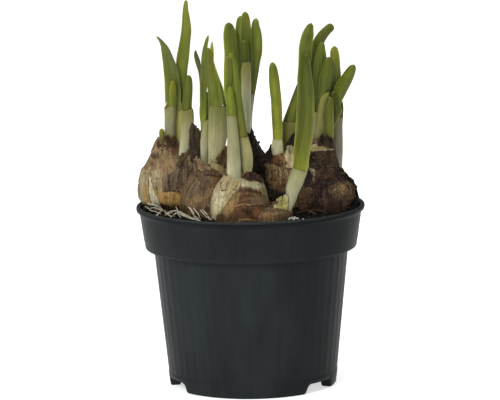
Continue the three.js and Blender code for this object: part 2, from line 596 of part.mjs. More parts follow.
// The gap between two feet, as a block with rounded upper corners that faces an azimuth
function notchSolid(azimuth, span) {
  const wide = BODY_FOOT_RADIUS * THREE.MathUtils.degToRad(span);
  const narrow = wide / 2 - FOOT_CORNER;
  const outline = new THREE.Shape();
  outline.moveTo(-wide / 2 - 1, -1);
  outline.lineTo(wide / 2 + 1, -1);
  outline.quadraticCurveTo(wide / 2 - FOOT_CORNER / 2, FOOT_HEIGHT - 1, narrow - FOOT_CORNER, FOOT_HEIGHT);
  outline.lineTo(-narrow + FOOT_CORNER, FOOT_HEIGHT);
  outline.quadraticCurveTo(-wide / 2 + FOOT_CORNER / 2, FOOT_HEIGHT - 1, -wide / 2 - 1, -1);
  const block = new THREE.ExtrudeGeometry(outline, {
    depth: FOOT_RING_WIDTH * 3,
    bevelEnabled: false,
    curveSegments: 4,
  });
  block.rotateX(Math.PI / 2);
  block.translate(0, -(BODY_FOOT_RADIUS - FOOT_RING_WIDTH * 2), 0);
  block.rotateZ(THREE.MathUtils.degToRad(azimuth));
  return toSolid(block);
}

// The compost: a plug that follows the pot's hollow, bumpy on top, as rings of [radius, height]
const COMPOST_RINGS = [
  [bodyRadius(FLOOR_TOP) - WALL - COMPOST_GAP, FLOOR_TOP + GAP],
  [bodyRadius(COMPOST_STEP_Z) - WALL - COMPOST_GAP, COMPOST_STEP_Z],
  [COLLAR_FOOT_RADIUS - WALL - COMPOST_GAP, COLLAR_FOOT_Z + WALL + COMPOST_GAP],
  ...[1, 0.88, 0.7, 0.45].map((share) => [share * (collarRadius(COMPOST_Z) - WALL - COMPOST_GAP), COMPOST_Z]),
];
const LEVEL_RINGS = 4;
const COMPOST_SIDES = 32;

function compostSolid() {
  const steps = COMPOST_RINGS.length - 1;
  const geometry = shapedTube(COMPOST_SIDES, steps, (round, along, out) => {
    const index = Math.round(along * steps);
    const [radius, z] = COMPOST_RINGS[index];
    const x = out * radius * Math.cos(round);
    const y = out * radius * Math.sin(round);
    const wave = Math.sin(x * 0.31 + 1.3) * Math.cos(y * 0.27 - 0.4) + 0.6 * Math.sin(x * 0.83 - y * 0.71);
    const bump = index >= LEVEL_RINGS ? COMPOST_BUMP * (0.2 + 0.55 * wave) : 0;
    return new THREE.Vector3(x, y, z + bump);
  });
  return toSolid(geometry);
}

// One bunch of white roots, fused where the strands cross
function rootsSolid() {
  const strands = ROOT_STRANDS.map((points) => {
    const lifted = points.map(([x, y, lift]) => new THREE.Vector3(x, y, COMPOST_Z + lift));
    const curve = new THREE.CatmullRomCurve3(lifted);
    const steps = Math.round(curve.getLength() / ROOT_STEP);
    return toSolid(shapedTube(ROOT_SIDES, steps, (round, along, out) => {
      const tangent = curve.getTangentAt(along);
      const point = curve.getPointAt(along);
      const side = new THREE.Vector3(tangent.y, -tangent.x, 0).normalize();
      const upward = new THREE.Vector3().crossVectors(tangent, side).normalize();
      const radius = ROOT_RADIUS * (1 - ROOT_TAPER * (along - 0.5)) * out;
      point.addScaledVector(side, radius * Math.cos(round));
      point.addScaledVector(upward, radius * Math.sin(round));
      return point;
    }));
  });
  return strands.reduce((bunch, strand) => bunch.add(strand));
}

const group = new THREE.Group();

const bulbByName = new Map(BULBS.map((bulb) => [bulb.name, bulb]));
const sheathByName = new Map(SHEATHS.map((sheath) => [sheath.name, sheath]));

// Bulbs: a bulb further down the list is pressed in by those before it, and each has pockets for its shoots
BULBS.forEach((bulb, order) => {
  let solid = bulbSolid(bulb);
  for (const earlier of BULBS.slice(0, order)) {
    solid = solid.subtract(bulbSolid(earlier, GAP));
  }
  for (const sheath of SHEATHS.filter((one) => one.bulb === bulb.name)) {
    solid = solid.subtract(sheathSolid(sheath, GAP));
  }
  for (const leaf of LEAVES.filter(({ root }) => root === bulb.name)) {
    solid = solid.subtract(leafSolid(leaf, GAP));
  }
  group.add(toMesh(bulb.name, solid, { color: bulb.colour, roughness: BULB_ROUGHNESS }));
});

for (const sheath of SHEATHS) {
  let solid = sheathSolid(sheath);
  for (const leaf of LEAVES.filter(({ root }) => root === sheath.name)) {
    solid = solid.subtract(leafSolid(leaf, GAP));
  }
  group.add(toMesh(sheath.name, solid, SHEATH_FINISH));
}

for (const leaf of LEAVES) {
  if (!bulbByName.has(leaf.root) && !sheathByName.has(leaf.root)) {
    throw new Error(`${leaf.name} has no root`);
  }
  group.add(toMesh(leaf.name, leafSolid(leaf), LEAF_FINISH));
}

for (const tunic of TUNICS) {
  let solid = leafSolid(tunic);
  for (const bulb of BULBS) {
    solid = solid.subtract(bulbSolid(bulb, GAP));
  }
  group.add(toMesh(tunic.name, solid, TUNIC_FINISH));
}

let roots = rootsSolid();
let compost = compostSolid();
for (const bulb of BULBS) {
  const grown = bulbSolid(bulb, GAP);
  roots = roots.subtract(grown);
  compost = compost.subtract(grown);
}
group.add(toMesh("roots_left", roots, ROOT_FINISH));
group.add(toMesh("compost", compost, COMPOST_FINISH));
group.add(toMesh("pot", potSolid(), POT_FINISH));

export default group;
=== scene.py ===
# Six sprouting narcissus bulbs crowded into a round plastic nursery pot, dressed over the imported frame.
# Tables are in millimetres and objects in metres. The origin is on the pot's axis at floor level, and
# -Y is the front.
import math
import random
from bisect import bisect_left
import bpy
import bmesh
from mathutils import Matrix, Vector, noise


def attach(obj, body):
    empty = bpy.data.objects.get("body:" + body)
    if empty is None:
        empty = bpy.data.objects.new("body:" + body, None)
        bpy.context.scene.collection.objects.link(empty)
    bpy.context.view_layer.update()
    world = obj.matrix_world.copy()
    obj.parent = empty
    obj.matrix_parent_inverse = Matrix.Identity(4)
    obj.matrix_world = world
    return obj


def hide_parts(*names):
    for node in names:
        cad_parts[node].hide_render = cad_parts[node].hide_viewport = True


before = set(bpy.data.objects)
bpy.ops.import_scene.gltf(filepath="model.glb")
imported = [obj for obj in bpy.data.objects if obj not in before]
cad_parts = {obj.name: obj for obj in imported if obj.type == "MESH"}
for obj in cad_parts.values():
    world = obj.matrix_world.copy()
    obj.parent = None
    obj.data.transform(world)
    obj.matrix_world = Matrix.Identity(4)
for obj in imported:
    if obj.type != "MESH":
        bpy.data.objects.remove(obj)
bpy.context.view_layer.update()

MM = 0.001

# Camera: a long lens a little above the rim, as the photo was taken, rolled slightly so that
# the rim's right end stands higher.
CAMERA_PLACE = (-0.00018, -1.866, 0.402)
CAMERA_PITCH = 0.1618
CAMERA_ROLL = -0.0165
CAMERA_SENSOR = 36
CAMERA_LENS = 259.27
camera = bpy.data.objects.new("camera", bpy.data.cameras.new("camera"))
camera.data.sensor_width = CAMERA_SENSOR
camera.data.lens = CAMERA_LENS
camera.matrix_world = (
    Matrix.Translation(CAMERA_PLACE)
    @ Matrix.Rotation(math.pi / 2 - CAMERA_PITCH, 4, "X")
    @ Matrix.Rotation(CAMERA_ROLL, 4, "Z")
)
bpy.context.scene.collection.objects.link(camera)
bpy.context.scene.camera = camera
bpy.context.scene.view_settings.view_transform = "Standard"

# Floor: one wide matt white sheet, lit softly from below like a light table, that fills the
# background.
FLOOR_HALF = 5.0
FLOOR_GLOW = 0.6


def join(tree, kind, inputs=None, **settings):
    """Adds a node to a material, sets it up, and sets its sockets or joins them to other nodes' outputs."""
    made = tree.nodes.new(kind)
    for key, value in settings.items():
        setattr(made, key, value)
    for socket, value in (inputs or {}).items():
        if isinstance(value, bpy.types.NodeSocket):
            tree.links.new(value, made.inputs[socket])
        else:
            made.inputs[socket].default_value = value
    return made


def finish(name, roughness, specular):
    """A new material, its node tree and its shader."""
    material = bpy.data.materials.new(name)
    material.use_nodes = True
    shader = material.node_tree.nodes["Principled BSDF"]
    shader.inputs["Roughness"].default_value = roughness
    shader.inputs["Specular IOR Level"].default_value = specular
    return material, material.node_tree, shader


def grain(tree, coordinates, stretch, scale, detail=3, rough=0.55):
    """Noise on a stretched copy of the coordinates."""
    stretched = join(tree, "ShaderNodeMapping", {"Vector": coordinates, "Scale": stretch})
    made = join(tree, "ShaderNodeTexNoise",
                {"Vector": stretched.outputs[0], "Scale": scale, "Detail": detail, "Roughness": rough})
    return made.outputs["Fac"]


def spread(tree, value, low, high, start=0.3, end=0.7):
    """A value drawn out from start..end to low..high."""
    made = join(tree, "ShaderNodeMapRange",
                {"Value": value, "From Min": start, "From Max": end, "To Min": low, "To Max": high})
    return made.outputs[0]


def shaded(tree, colour, factor):
    """A colour made darker or lighter by a factor."""
    made = join(tree, "ShaderNodeVectorMath", {0: colour, 1: factor}, operation="MULTIPLY")
    return made.outputs[0]


floor_mesh = bmesh.new()
bmesh.ops.create_grid(floor_mesh, x_segments=2, y_segments=2, size=FLOOR_HALF)
floor_data = bpy.data.meshes.new("floor")
floor_mesh.to_mesh(floor_data)
floor_mesh.free()
floor = bpy.data.objects.new("floor", floor_data)
bpy.context.scene.collection.objects.link(floor)
floor_finish, tree, shader = finish("pale_floor", 0.9, 0.1)
place = join(tree, "ShaderNodeTexCoord").outputs["Object"]
mottle = spread(tree, grain(tree, place, (1, 1, 1), 3.0), 0.985, 1.0)
plain = join(tree, "ShaderNodeRGB")
plain.outputs[0].default_value = (0.93, 0.93, 0.93, 1)
tree.links.new(shaded(tree, plain.outputs[0], mottle), shader.inputs["Base Color"])
shader.inputs["Emission Color"].default_value = (1, 1, 1, 1)
shader.inputs["Emission Strength"].default_value = FLOOR_GLOW
floor_data.materials.append(floor_finish)

# Light: a white room, a large soft box high on the left in front, a weaker one on the right, one
# overhead and one behind.
ROOM_LIGHT = 0.2
LAMP_AIM = Vector((0, 0, 0.12))
# Each row: name, place, width and power.
LIGHTS = [
    ("key_left", (-0.9, -1.9, 1.4), 0.9, 34),
    ("fill_right", (1.0, -1.9, 0.8), 1.2, 3),
    ("overhead", (0.0, 0.2, 1.9), 1.6, 22),
    ("back_soft", (0.2, 1.9, 1.7), 1.4, 6),
]
room = bpy.data.worlds.new("room")
room.use_nodes = True
room.node_tree.nodes["Background"].inputs["Color"].default_value = (1, 1, 1, 1)
room.node_tree.nodes["Background"].inputs["Strength"].default_value = ROOM_LIGHT
bpy.context.scene.world = room
for name, spot, size, power in LIGHTS:
    lamp = bpy.data.lights.new(name, "AREA")
    lamp.size = size
    lamp.energy = power
    lit = bpy.data.objects.new(name, lamp)
    towards = (LAMP_AIM - Vector(spot)).to_track_quat("-Z", "Y")
    lit.matrix_world = Matrix.Translation(spot) @ towards.to_matrix().to_4x4()
    bpy.context.scene.collection.objects.link(lit)

# Pot: a nursery pot in dark grey plastic, injection moulded in one piece, with a rolled lip, a
# tapered collar, fifty shallow upright ribs, and three feet with gaps between them.
LIP_RADIUS = 60
RIM_Z = 95.4
LIP_HEIGHT = 2.6
COLLAR_TOP = 58.4
COLLAR_FOOT = 55.6
COLLAR_FOOT_Z = 73.2
BODY_TOP = 51.2
BODY_FOOT = 43.7
WALL = 1.3
RIBS = 50
RIB_DEPTH = 0.12
RIB_FOOT_Z = 7.9
RIB_TOP_Z = 72.5
FOOT_Z = 5.3
FOOT_RADIUS = 43.5
FOOT_INSIDE = 38.3
FOOT_SPAN = 88
FRONT_FOOT = -7
NOTCH_SLOPE = 4.0
DRAINS = 6
DRAIN_CIRCLE = 26
DRAIN_RADIUS = 3.5
DRAIN_MIDDLE = 6
DRAIN_LENGTH = 8
POT_STEPS = 600


def tone(red, green, blue):
    """A colour read off the screen, as the linear colour that shaders use."""
    return tuple(
        (c / 255 / 12.92 if c <= 10 else ((c / 255 + 0.055) / 1.055) ** 2.4) for c in (red, green, blue)
    )


def body_radius(z):
    """The body's outer radius at a height."""
    return BODY_FOOT + (BODY_TOP - BODY_FOOT) * z / COLLAR_FOOT_Z


def collar_radius(z):
    """The collar's outer radius at a height."""
    share = (z - COLLAR_FOOT_Z) / (RIM_Z - LIP_HEIGHT - COLLAR_FOOT_Z)
    return COLLAR_FOOT + (COLLAR_TOP - COLLAR_FOOT) * share


def soften(start, end, value):
    """0 before start and 1 after end, with a smooth way between."""
    share = min(max((value - start) / (end - start), 0), 1)
    return share * share * (3 - 2 * share)


def put(name, mesh, material, slot, *nodes):
    """Turns a finished bmesh into a piece that rides on the body and stands for CAD nodes."""
    for face in mesh.faces:
        face.smooth = True
    data = bpy.data.meshes.new(name)
    mesh.to_mesh(data)
    mesh.free()
    data.materials.append(material)
    piece = bpy.data.objects.new(name, data)
    bpy.context.scene.collection.objects.link(piece)
    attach(piece, "root")
    if nodes:
        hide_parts(*nodes)
    return piece


# Radius and height, from the middle of the floor's underside round the foot, up the outside, over the
# lip and down the inside.
POT_PROFILE = [
    (0, FOOT_Z), (14, FOOT_Z), (30, FOOT_Z), (38.2, FOOT_Z), (38.65, 5.0), (38.7, 4.2), (38.7, 0.5),
    (39.1, 0.05), (41, 0), (43, 0), (43.5, 0.15), (43.85, 0.7), (44.4, 4.6), (44.66, 7.1), (44.66, 7.4),
    (44.5, 7.75),
    *[(body_radius(z), z) for z in (8.0, 8.5, 9.2, 12, 20, 30, 40, 50, 60, 68, 71.6, 72.4)],
    (51.35, 72.9), (51.8, 73.2), (54.9, 73.2), (55.35, 73.3), (55.6, 73.75), (55.75, 75),
    *[(collar_radius(z), z) for z in (78, 82, 86, 90, 91.8)],
    (58.5, 92.35), (58.9, 92.62), (59.5, 92.75), (59.85, 93.1), (LIP_RADIUS, 93.7), (LIP_RADIUS, 94.5),
    (59.85, 95.0), (59.5, 95.32), (59.0, RIM_Z), (58.1, 95.36), (57.7, 95.1), (57.45, 94.6), (57.2, 93.5),
    *[(collar_radius(z) - WALL, z) for z in (90, 82, 76)],
    (54.2, 74.6), (50.2, 73.6), (49.9, 72), (44, 20), (43.2, 7.6), (42.6, 6.9), (20, 6.9), (0, 6.9),
]


def notch_height(azimuth, radius):
    """How high the foot's edge stands above the floor at an azimuth in degrees."""
    third = (azimuth - FRONT_FOOT + FOOT_SPAN / 2) % 120
    into = min(third - FOOT_SPAN, 120 - third) * math.pi / 180 * radius
    return (FOOT_Z - 0.1) * soften(0, NOTCH_SLOPE, into)


mesh = bmesh.new()
line = [mesh.verts.new((radius * MM, 0, z * MM)) for radius, z in POT_PROFILE]
edges = [mesh.edges.new(pair) for pair in zip(line, line[1:])]
bmesh.ops.spin(mesh, geom=line + edges, cent=(0, 0, 0), axis=(0, 0, 1), angle=2 * math.pi,
               steps=POT_STEPS, use_merge=True)
bmesh.ops.remove_doubles(mesh, verts=mesh.verts, dist=1e-7)
bmesh.ops.recalc_face_normals(mesh, faces=mesh.faces)
for vert in mesh.verts:
    radius, z = math.hypot(vert.co.x, vert.co.y) / MM, vert.co.z / MM
    azimuth = math.degrees(math.atan2(vert.co.x, -vert.co.y))
    if z < FOOT_Z - 0.1 and radius > FOOT_INSIDE:
        vert.co.z = max(z, notch_height(azimuth, FOOT_RADIUS)) * MM
    if RIB_FOOT_Z < z < RIB_TOP_Z and radius > body_radius(z) - 0.3:
        flute = 0.5 - 0.5 * math.cos(math.radians(azimuth * RIBS))
        faded = soften(RIB_FOOT_Z, RIB_FOOT_Z + 0.7, z) * soften(RIB_TOP_Z, RIB_TOP_Z - 1.5, z)
        inward = RIB_DEPTH * flute ** 0.8 * faded
        vert.co.xy *= 1 - inward / radius
drains = bmesh.new()
for i in range(DRAINS):
    spot = (Matrix.Rotation((i + 0.5) * 2 * math.pi / DRAINS, 4, "Z")
            @ Matrix.Translation((DRAIN_CIRCLE * MM, 0, DRAIN_MIDDLE * MM)))
    bmesh.ops.create_cone(drains, cap_ends=True, segments=32, radius1=DRAIN_RADIUS * MM,
                          radius2=DRAIN_RADIUS * MM, depth=DRAIN_LENGTH * MM, matrix=spot)
drain_data = bpy.data.meshes.new("drains")
drains.to_mesh(drain_data)
drains.free()
drain_tool = bpy.data.objects.new("drains", drain_data)
bpy.context.scene.collection.objects.link(drain_tool)
pot_finish, tree, shader = finish("pot_plastic", 0.5, 0.03)
place = join(tree, "ShaderNodeTexCoord").outputs["Object"]
flow = grain(tree, place, (1, 1, 0.03), 420, 4, 0.7)
cloud = grain(tree, place, (1, 1, 0.5), 45, 3)
plastics = {0: spread(tree, cloud, 0, 1), 6: (*tone(31, 34, 35), 1), 7: (*tone(38, 42, 43), 1)}
base = join(tree, "ShaderNodeMix", plastics, data_type="RGBA")
sides = join(tree, "ShaderNodeSeparateXYZ", {"Vector": place}).outputs
# Fine flow lines in the moulding, then painted light: the left painted paler than the right as if lit from
# the left, the collar painted darker than the body as shade under the lip, a painted shadow just under the
# lip's bead, and a painted highlight over the lip's top.
flow_and_painted_light = [
    spread(tree, flow, 0.9, 1.12),
    spread(tree, sides["X"], 1.08, 0.64, -0.005, 0.055),
    spread(tree, sides["Z"], 1.03, 0.85, 0.070, 0.077),
    spread(tree, sides["Z"], 1.0, 0.6, 0.0915, 0.0934),
    spread(tree, sides["Z"], 1.0, 3.2, 0.0941, 0.0951),
]
colour = base.outputs[2]
for factor in flow_and_painted_light:
    colour = shaded(tree, colour, factor)
tree.links.new(colour, shader.inputs["Base Color"])
tree.links.new(spread(tree, flow, 0.34, 0.5), shader.inputs["Roughness"])
fine = grain(tree, place, (1, 1, 0.4), 2600, 2)
relief = join(tree, "ShaderNodeMath", {0: flow, 1: fine}, operation="ADD")
bump = join(tree, "ShaderNodeBump", {"Height": relief.outputs[0], "Strength": 0.25, "Distance": 0.0003})
tree.links.new(bump.outputs[0], shader.inputs["Normal"])
pot = put("pot_moulding", mesh, pot_finish, "pot", "pot")
cut = pot.modifiers.new("drains", "BOOLEAN")
cut.operation = "DIFFERENCE"
cut.solver = "EXACT"
cut.object = drain_tool
bpy.context.view_layer.update()
whole = pot.data
pot.data = bpy.data.meshes.new_from_object(pot.evaluated_get(bpy.context.evaluated_depsgraph_get()))
pot.modifiers.clear()
bpy.data.meshes.remove(whole)
bpy.data.objects.remove(drain_tool)

# Compost: dark crumbly peat pressed in to just under the rim, with crumbs, a few white grains of
# perlite and pale fibres lying on it.
COMPOST_TOP = 92.6
COMPOST_RADIUS = 57.0
COMPOST_BASE = 74
COMPOST_BASE_RADIUS = 53
PEAT_GRID = (300, 110)
TOP_SHARE = 0.86
SIDE_SHARE = 0.93


def skin(name, around, along, place, coat, material, slot, *nodes):
    """A closed form: a grid rolled up, with its seam and both ends merged. u runs round and v along;
    place(u, v) gives a point in millimetres, coat(point, u, v) its colour."""
    mesh = bmesh.new()
    mesh.loops.layers.uv.new("UVMap")
    colours = mesh.verts.layers.float_color.new("coat")
    bmesh.ops.create_grid(mesh, x_segments=around, y_segments=along, size=0.5, calc_uvs=True)
    for vert in mesh.verts:
        u, v = vert.co.x + 0.5, vert.co.y + 0.5
        u = 0 if u > 1 - 1e-6 else u
        point = place(u, v)
        vert[colours] = (*coat(point, u, v), 1)
        vert.co = point * MM
    bmesh.ops.remove_doubles(mesh, verts=mesh.verts, dist=1e-7)
    bmesh.ops.recalc_face_normals(mesh, faces=mesh.faces)
    return put(name, mesh, material, slot, *nodes)


def mixed(a, b, share):
    """Two colours mixed."""
    return tuple(p + (q - p) * share for p, q in zip(a, b))


def speckle(point, size, seed=0):
    """Smooth noise from -1 to 1 with lumps of a size in millimetres."""
    return noise.noise(Vector(point) / size + Vector((seed * 7.1, seed * 3.3, seed * 5.7)))


# Small heaps that stand over the general level: x, y, height and width.
MOUNDS = [
    (55, -6, 7, 7), (52, 4, 4.6, 5), (-55, -2, 3.4, 5), (-47, -22, 2.2, 9), (-34, -37, 2.0, 9),
    (-22, -46, 1.6, 7),
]


def peat_place(u, v):
    """The compost's skin: its bumpy top, then its side, then its base, which the pot hides."""
    turn = 2 * math.pi * u
    if v < TOP_SHARE:
        radius, z = COMPOST_RADIUS * (v / TOP_SHARE) ** 0.8, COMPOST_TOP
    elif v < SIDE_SHARE:
        share = (v - TOP_SHARE) / (SIDE_SHARE - TOP_SHARE)
        radius, z = COMPOST_RADIUS - 0.4 - 2.6 * share, COMPOST_TOP - 0.6 - 17 * share
    else:
        share = (v - SIDE_SHARE) / (1 - SIDE_SHARE)
        radius, z = COMPOST_BASE_RADIUS * (1 - share), COMPOST_BASE
    spot = Vector((radius * math.sin(turn), radius * math.cos(turn), z))
    if v < TOP_SHARE:
        wave = math.sin(spot.x * 0.31 + 1.3) * math.cos(spot.y * 0.27 - 0.4)
        lumps = 0.9 * wave + 1.0 * speckle(spot, 5, 1) + 0.9 * abs(speckle(spot, 1.9, 2))
        spot.z += lumps + 0.35 * speckle(spot, 0.8, 3)
        for x, y, height, wide in MOUNDS:
            spot.z += height * math.exp(-((spot.x - x) ** 2 + (spot.y - y) ** 2) / wide ** 2)
    return spot


def peat_at(turn, radius):
    """The point of the compost's top at an angle and a distance from the axis."""
    return peat_place(turn / 2 / math.pi % 1, TOP_SHARE * (radius / COMPOST_RADIUS) ** 1.25)


PEAT_DARK = tone(13, 11, 10)
PEAT_BROWN = tone(33, 27, 21)
PEAT_PALE = tone(66, 56, 43)


def peat_coat(point, u, v):
    """The compost's colour: dark and brown lumps with pale fibres."""
    brown = mixed(PEAT_DARK, PEAT_BROWN, soften(-0.2, 0.6, speckle(point, 2.2, 4)))
    return mixed(brown, PEAT_PALE, 0.7 * soften(0.42, 0.6, speckle(point, 0.9, 5)))


def coat_colour(tree):
    """The colour that a piece's points carry."""
    return join(tree, "ShaderNodeVertexColor", layer_name="coat").outputs["Color"]


def coated_finish(name, roughness, specular, scale, detail, low, high, relief=0, depth=0.0, flat=1):
    """A matt skin in its coat colour, mottled from low to high by fine noise and roughened by the same;
    flat below 1 draws the noise out along the height."""
    material, tree, shader = finish(name, roughness, specular)
    place = join(tree, "ShaderNodeTexCoord").outputs["Object"]
    specks = grain(tree, place, (1, 1, flat), scale, detail)
    mottled = shaded(tree, coat_colour(tree), spread(tree, specks, low, high))
    tree.links.new(mottled, shader.inputs["Base Color"])
    if relief:
        bump = join(tree, "ShaderNodeBump", {"Height": specks, "Strength": relief, "Distance": depth})
        tree.links.new(bump.outputs[0], shader.inputs["Normal"])
    return material


peat_finish = coated_finish("peat", 0.92, 0.08, 1500, 4, 0.55, 1.5, 0.7, 0.0008)
skin("peat", *PEAT_GRID, peat_place, peat_coat, peat_finish, "compost", "compost")


def scatter(name, spots, material, slot, facets=1):
    """Small irregular crumbs or flakes as one piece. Each spot is its place, the way it faces, its
    three half sizes and its colour."""
    mesh = bmesh.new()
    colours = mesh.verts.layers.float_color.new("coat")
    for place, facing, half, colour in spots:
        made = bmesh.ops.create_icosphere(mesh, subdivisions=facets, radius=1)["verts"]
        spun = Matrix.Rotation(chance.uniform(0, 6.3), 3, "Z")
        turned = facing.to_track_quat("Z", "Y").to_matrix() @ spun
        for vert in made:
            rough = vert.co * chance.uniform(0.7, 1.15)
            vert[colours] = (*(c * chance.uniform(0.8, 1.2) for c in colour), 1)
            sized = Vector((rough.x * half[0], rough.y * half[1], rough.z * half[2]))
            vert.co = (place + turned @ sized) * MM
    return put(name, mesh, material, slot)


CRUMBS = 1500
CRUMB_REACH = 56.4
chance = random.Random(7)
crumbs = []
for _ in range(CRUMBS):
    turn, radius = chance.uniform(0, 2 * math.pi), CRUMB_REACH * math.sqrt(chance.uniform(0.1, 1))
    size = chance.uniform(0.25, 0.9) * chance.uniform(0.6, 1)
    spot = peat_at(turn, radius) + Vector((0, 0, size * 0.3))
    colour = mixed(PEAT_DARK, PEAT_PALE, chance.uniform(0, 1) ** 3)
    facing = Vector((chance.uniform(-1, 1), chance.uniform(-1, 1), 1))
    sizes = (size * chance.uniform(0.7, 1.6), size, size * chance.uniform(0.5, 0.9))
    crumbs.append((spot, facing, sizes, colour))
scatter("peat_crumbs", crumbs, peat_finish, "compost")
# The first nine grains lie in a heap in front of the front bulb's offset, and the others lie alone.
HEAP_FRONT = -45
HEAP_LIFT = 1.7
GRAIN_LIFT = 0.5
PERLITE_WHITE = tone(176, 172, 160)
PERLITE = [
    (19.8, -47.6), (20.6, -48.2), (21.2, -47.2), (22.1, -48.4), (22.8, -47.4), (23.7, -48), (24.2, -47),
    (22.6, -46.2), (26.8, -47.2), (38, -34), (-4, 52), (30, 40), (-30, 36), (50, 12), (-50, 16), (12, 46),
    (44, 26), (52, -12),
]
perlite_finish = coated_finish("perlite", 0.8, 0.2, 2400, 3, 0.7, 1.15)
grains = []
for x, y in PERLITE:
    lift = HEAP_LIFT if y < HEAP_FRONT else GRAIN_LIFT
    spot = peat_at(math.atan2(x, y), math.hypot(x, y)) + Vector((0, 0, lift))
    size = chance.uniform(0.5, 1.0)
    facing = Vector((chance.uniform(-1, 1), chance.uniform(-1, 1), 1))
    grains.append((spot, facing, (size * 1.2, size, size * 0.8), PERLITE_WHITE))
scatter("perlite_grains", grains, perlite_finish, "compost", 2)

# Bulbs: six bulbs and an offset, each a fleshy body in dry brown tunics that have torn and slipped,
# ragged at the neck where the shoots come through.
BULB_GRID = (220, 140)
FOOT_SHARE = 0.03
NECK_SHARE = 0.93
BURIED_ROWS = 0.07
BURIED_LENGTH = 0.2
SHOULDER_Z = 103
NECK_HOLLOW = 3.5
LAYER_REACH = 1.2
SOILED_Z = (94.4, 92)
ROUGH_CRACKLE = 0.6


def follow(points):
    """A smooth line through [x, y, z, width] points: its length, and its place, direction and width
    at a share of the length."""
    spots = [Vector((*p, 0)[:4]) for p in points]
    last = len(spots) - 1

    def between(t):
        i = min(int(t), last - 1)
        f = t - i
        a, b, c, d = (spots[max(0, min(last, k))] for k in (i - 1, i, i + 1, i + 2))
        square, cube = 2 * a - 5 * b + 4 * c - d, 3 * b - a - 3 * c + d
        return 0.5 * (2 * b + (c - a) * f + square * f ** 2 + cube * f ** 3)

    fine = [between(k / 16) for k in range(last * 16 + 1)]
    run = [0.0]
    for a, b in zip(fine, fine[1:]):
        run.append(run[-1] + (b - a).xyz.length)

    def at(share):
        goal = min(max(share, 0), 1) * run[-1]
        k = min(max(bisect_left(run, goal), 1), len(run) - 1)
        f = (goal - run[k - 1]) / max(run[k] - run[k - 1], 1e-9)
        spot = fine[k - 1].lerp(fine[k], f)
        ahead = (fine[min(k + 1, len(fine) - 1)] - fine[max(k - 2, 0)]).xyz.normalized()
        return spot.xyz, ahead, spot.w

    return run[-1], at


def reach(outline, x, z, closed):
    """The distance from a point to an outline, and whether the point is inside it."""
    best, inside = 1e9, False
    last = len(outline) if closed else len(outline) - 1
    for i in range(last):
        ax, az = outline[i]
        bx, bz = outline[(i + 1) % len(outline)]
        dx, dz = bx - ax, bz - az
        share = ((x - ax) * dx + (z - az) * dz) / (dx * dx + dz * dz + 1e-12)
        share = 0 if share < 0 else 1 if share > 1 else share
        far = math.hypot(x - ax - share * dx, z - az - share * dz)
        best = far if far < best else best
        if (az > z) != (bz > z) and x < ax + (z - az) / (bz - az) * dx:
            inside = not inside
    return best, inside


def wavy(value, x, z, *waves):
    """A value with noise added. Each wave: its height, how close it is across and up, and its seed."""
    for height, fine_x, fine_z, seed in waves:
        value += height * noise.noise((x * fine_x, z * fine_z, seed))
    return value


def layers_at(layers, x, z):
    """The tunic layers at a point of the bulb's front: share, colour, lift, and a factor for each layer
    that holds a painted highlight just inside a raised layer's edge and a painted shadow just outside it.
    """
    jx = wavy(x, x, z, (0.4, 0.5, 0.5, 3), (0.3, 1.4, 1.4, 7), (0.2, 3.4, 3.4, 2))
    jz = wavy(z, x, z, (0.4, 0.5, 0.5, 13), (0.3, 1.4, 1.4, 17), (0.2, 3.4, 3.4, 5))
    broken = wavy(0, x, z, (0.5, 0.8, 0.3, 23), (0.5, 2.4, 0.6, 29))
    for colour, lift, width, outline, low_x, high_x, low_z, high_z in layers:
        if not (low_x < jx < high_x and low_z < jz < high_z):
            continue
        far, inside = reach(outline, jx, jz, width == 0)
        depth_in = far if inside else -far
        if width:
            share = 1 - soften(width * 0.4, width, far)
            raised, rim = lift * share, 1
        else:
            crisp = lift > 0.05
            share = soften(-0.15, 0.15, depth_in) if crisp else soften(-0.9, 1.1, depth_in + 2.1 * broken)
            # Painted highlight just inside a raised layer's edge and painted shadow just outside it, both
            # growing with its lift.
            painted_edge_highlight = 0.5 * math.exp(-((far - 0.35) / 0.25) ** 2)
            painted_edge_shadow = -0.9 * math.exp(-((far - 0.15) / 0.3) ** 2)
            rim = 1 + min(lift, 0.6) * (painted_edge_highlight if inside else painted_edge_shadow)
            raised = lift * soften(-0.1, 0.5, depth_in)
        if share or rim != 1:
            yield share, colour, raised, rim


def boxed(layers):
    """Adds to each layer the box that it can reach, so that far points skip it."""
    made = []
    for colour, lift, width, outline in layers:
        xs, zs = [x for x, z in outline], [z for x, z in outline]
        box = (min(xs) - LAYER_REACH, max(xs) + LAYER_REACH, min(zs) - LAYER_REACH, max(zs) + LAYER_REACH)
        made.append((tone(*colour), lift, width, outline, *box))
    return made


def bark(out_x, out_y, z, fine, tall, shift):
    """Noise on a bulb's skin at a way out and a height: fine and tall say how close its lumps stand."""
    return noise.noise((out_x * fine, out_y * fine, z * tall + shift))


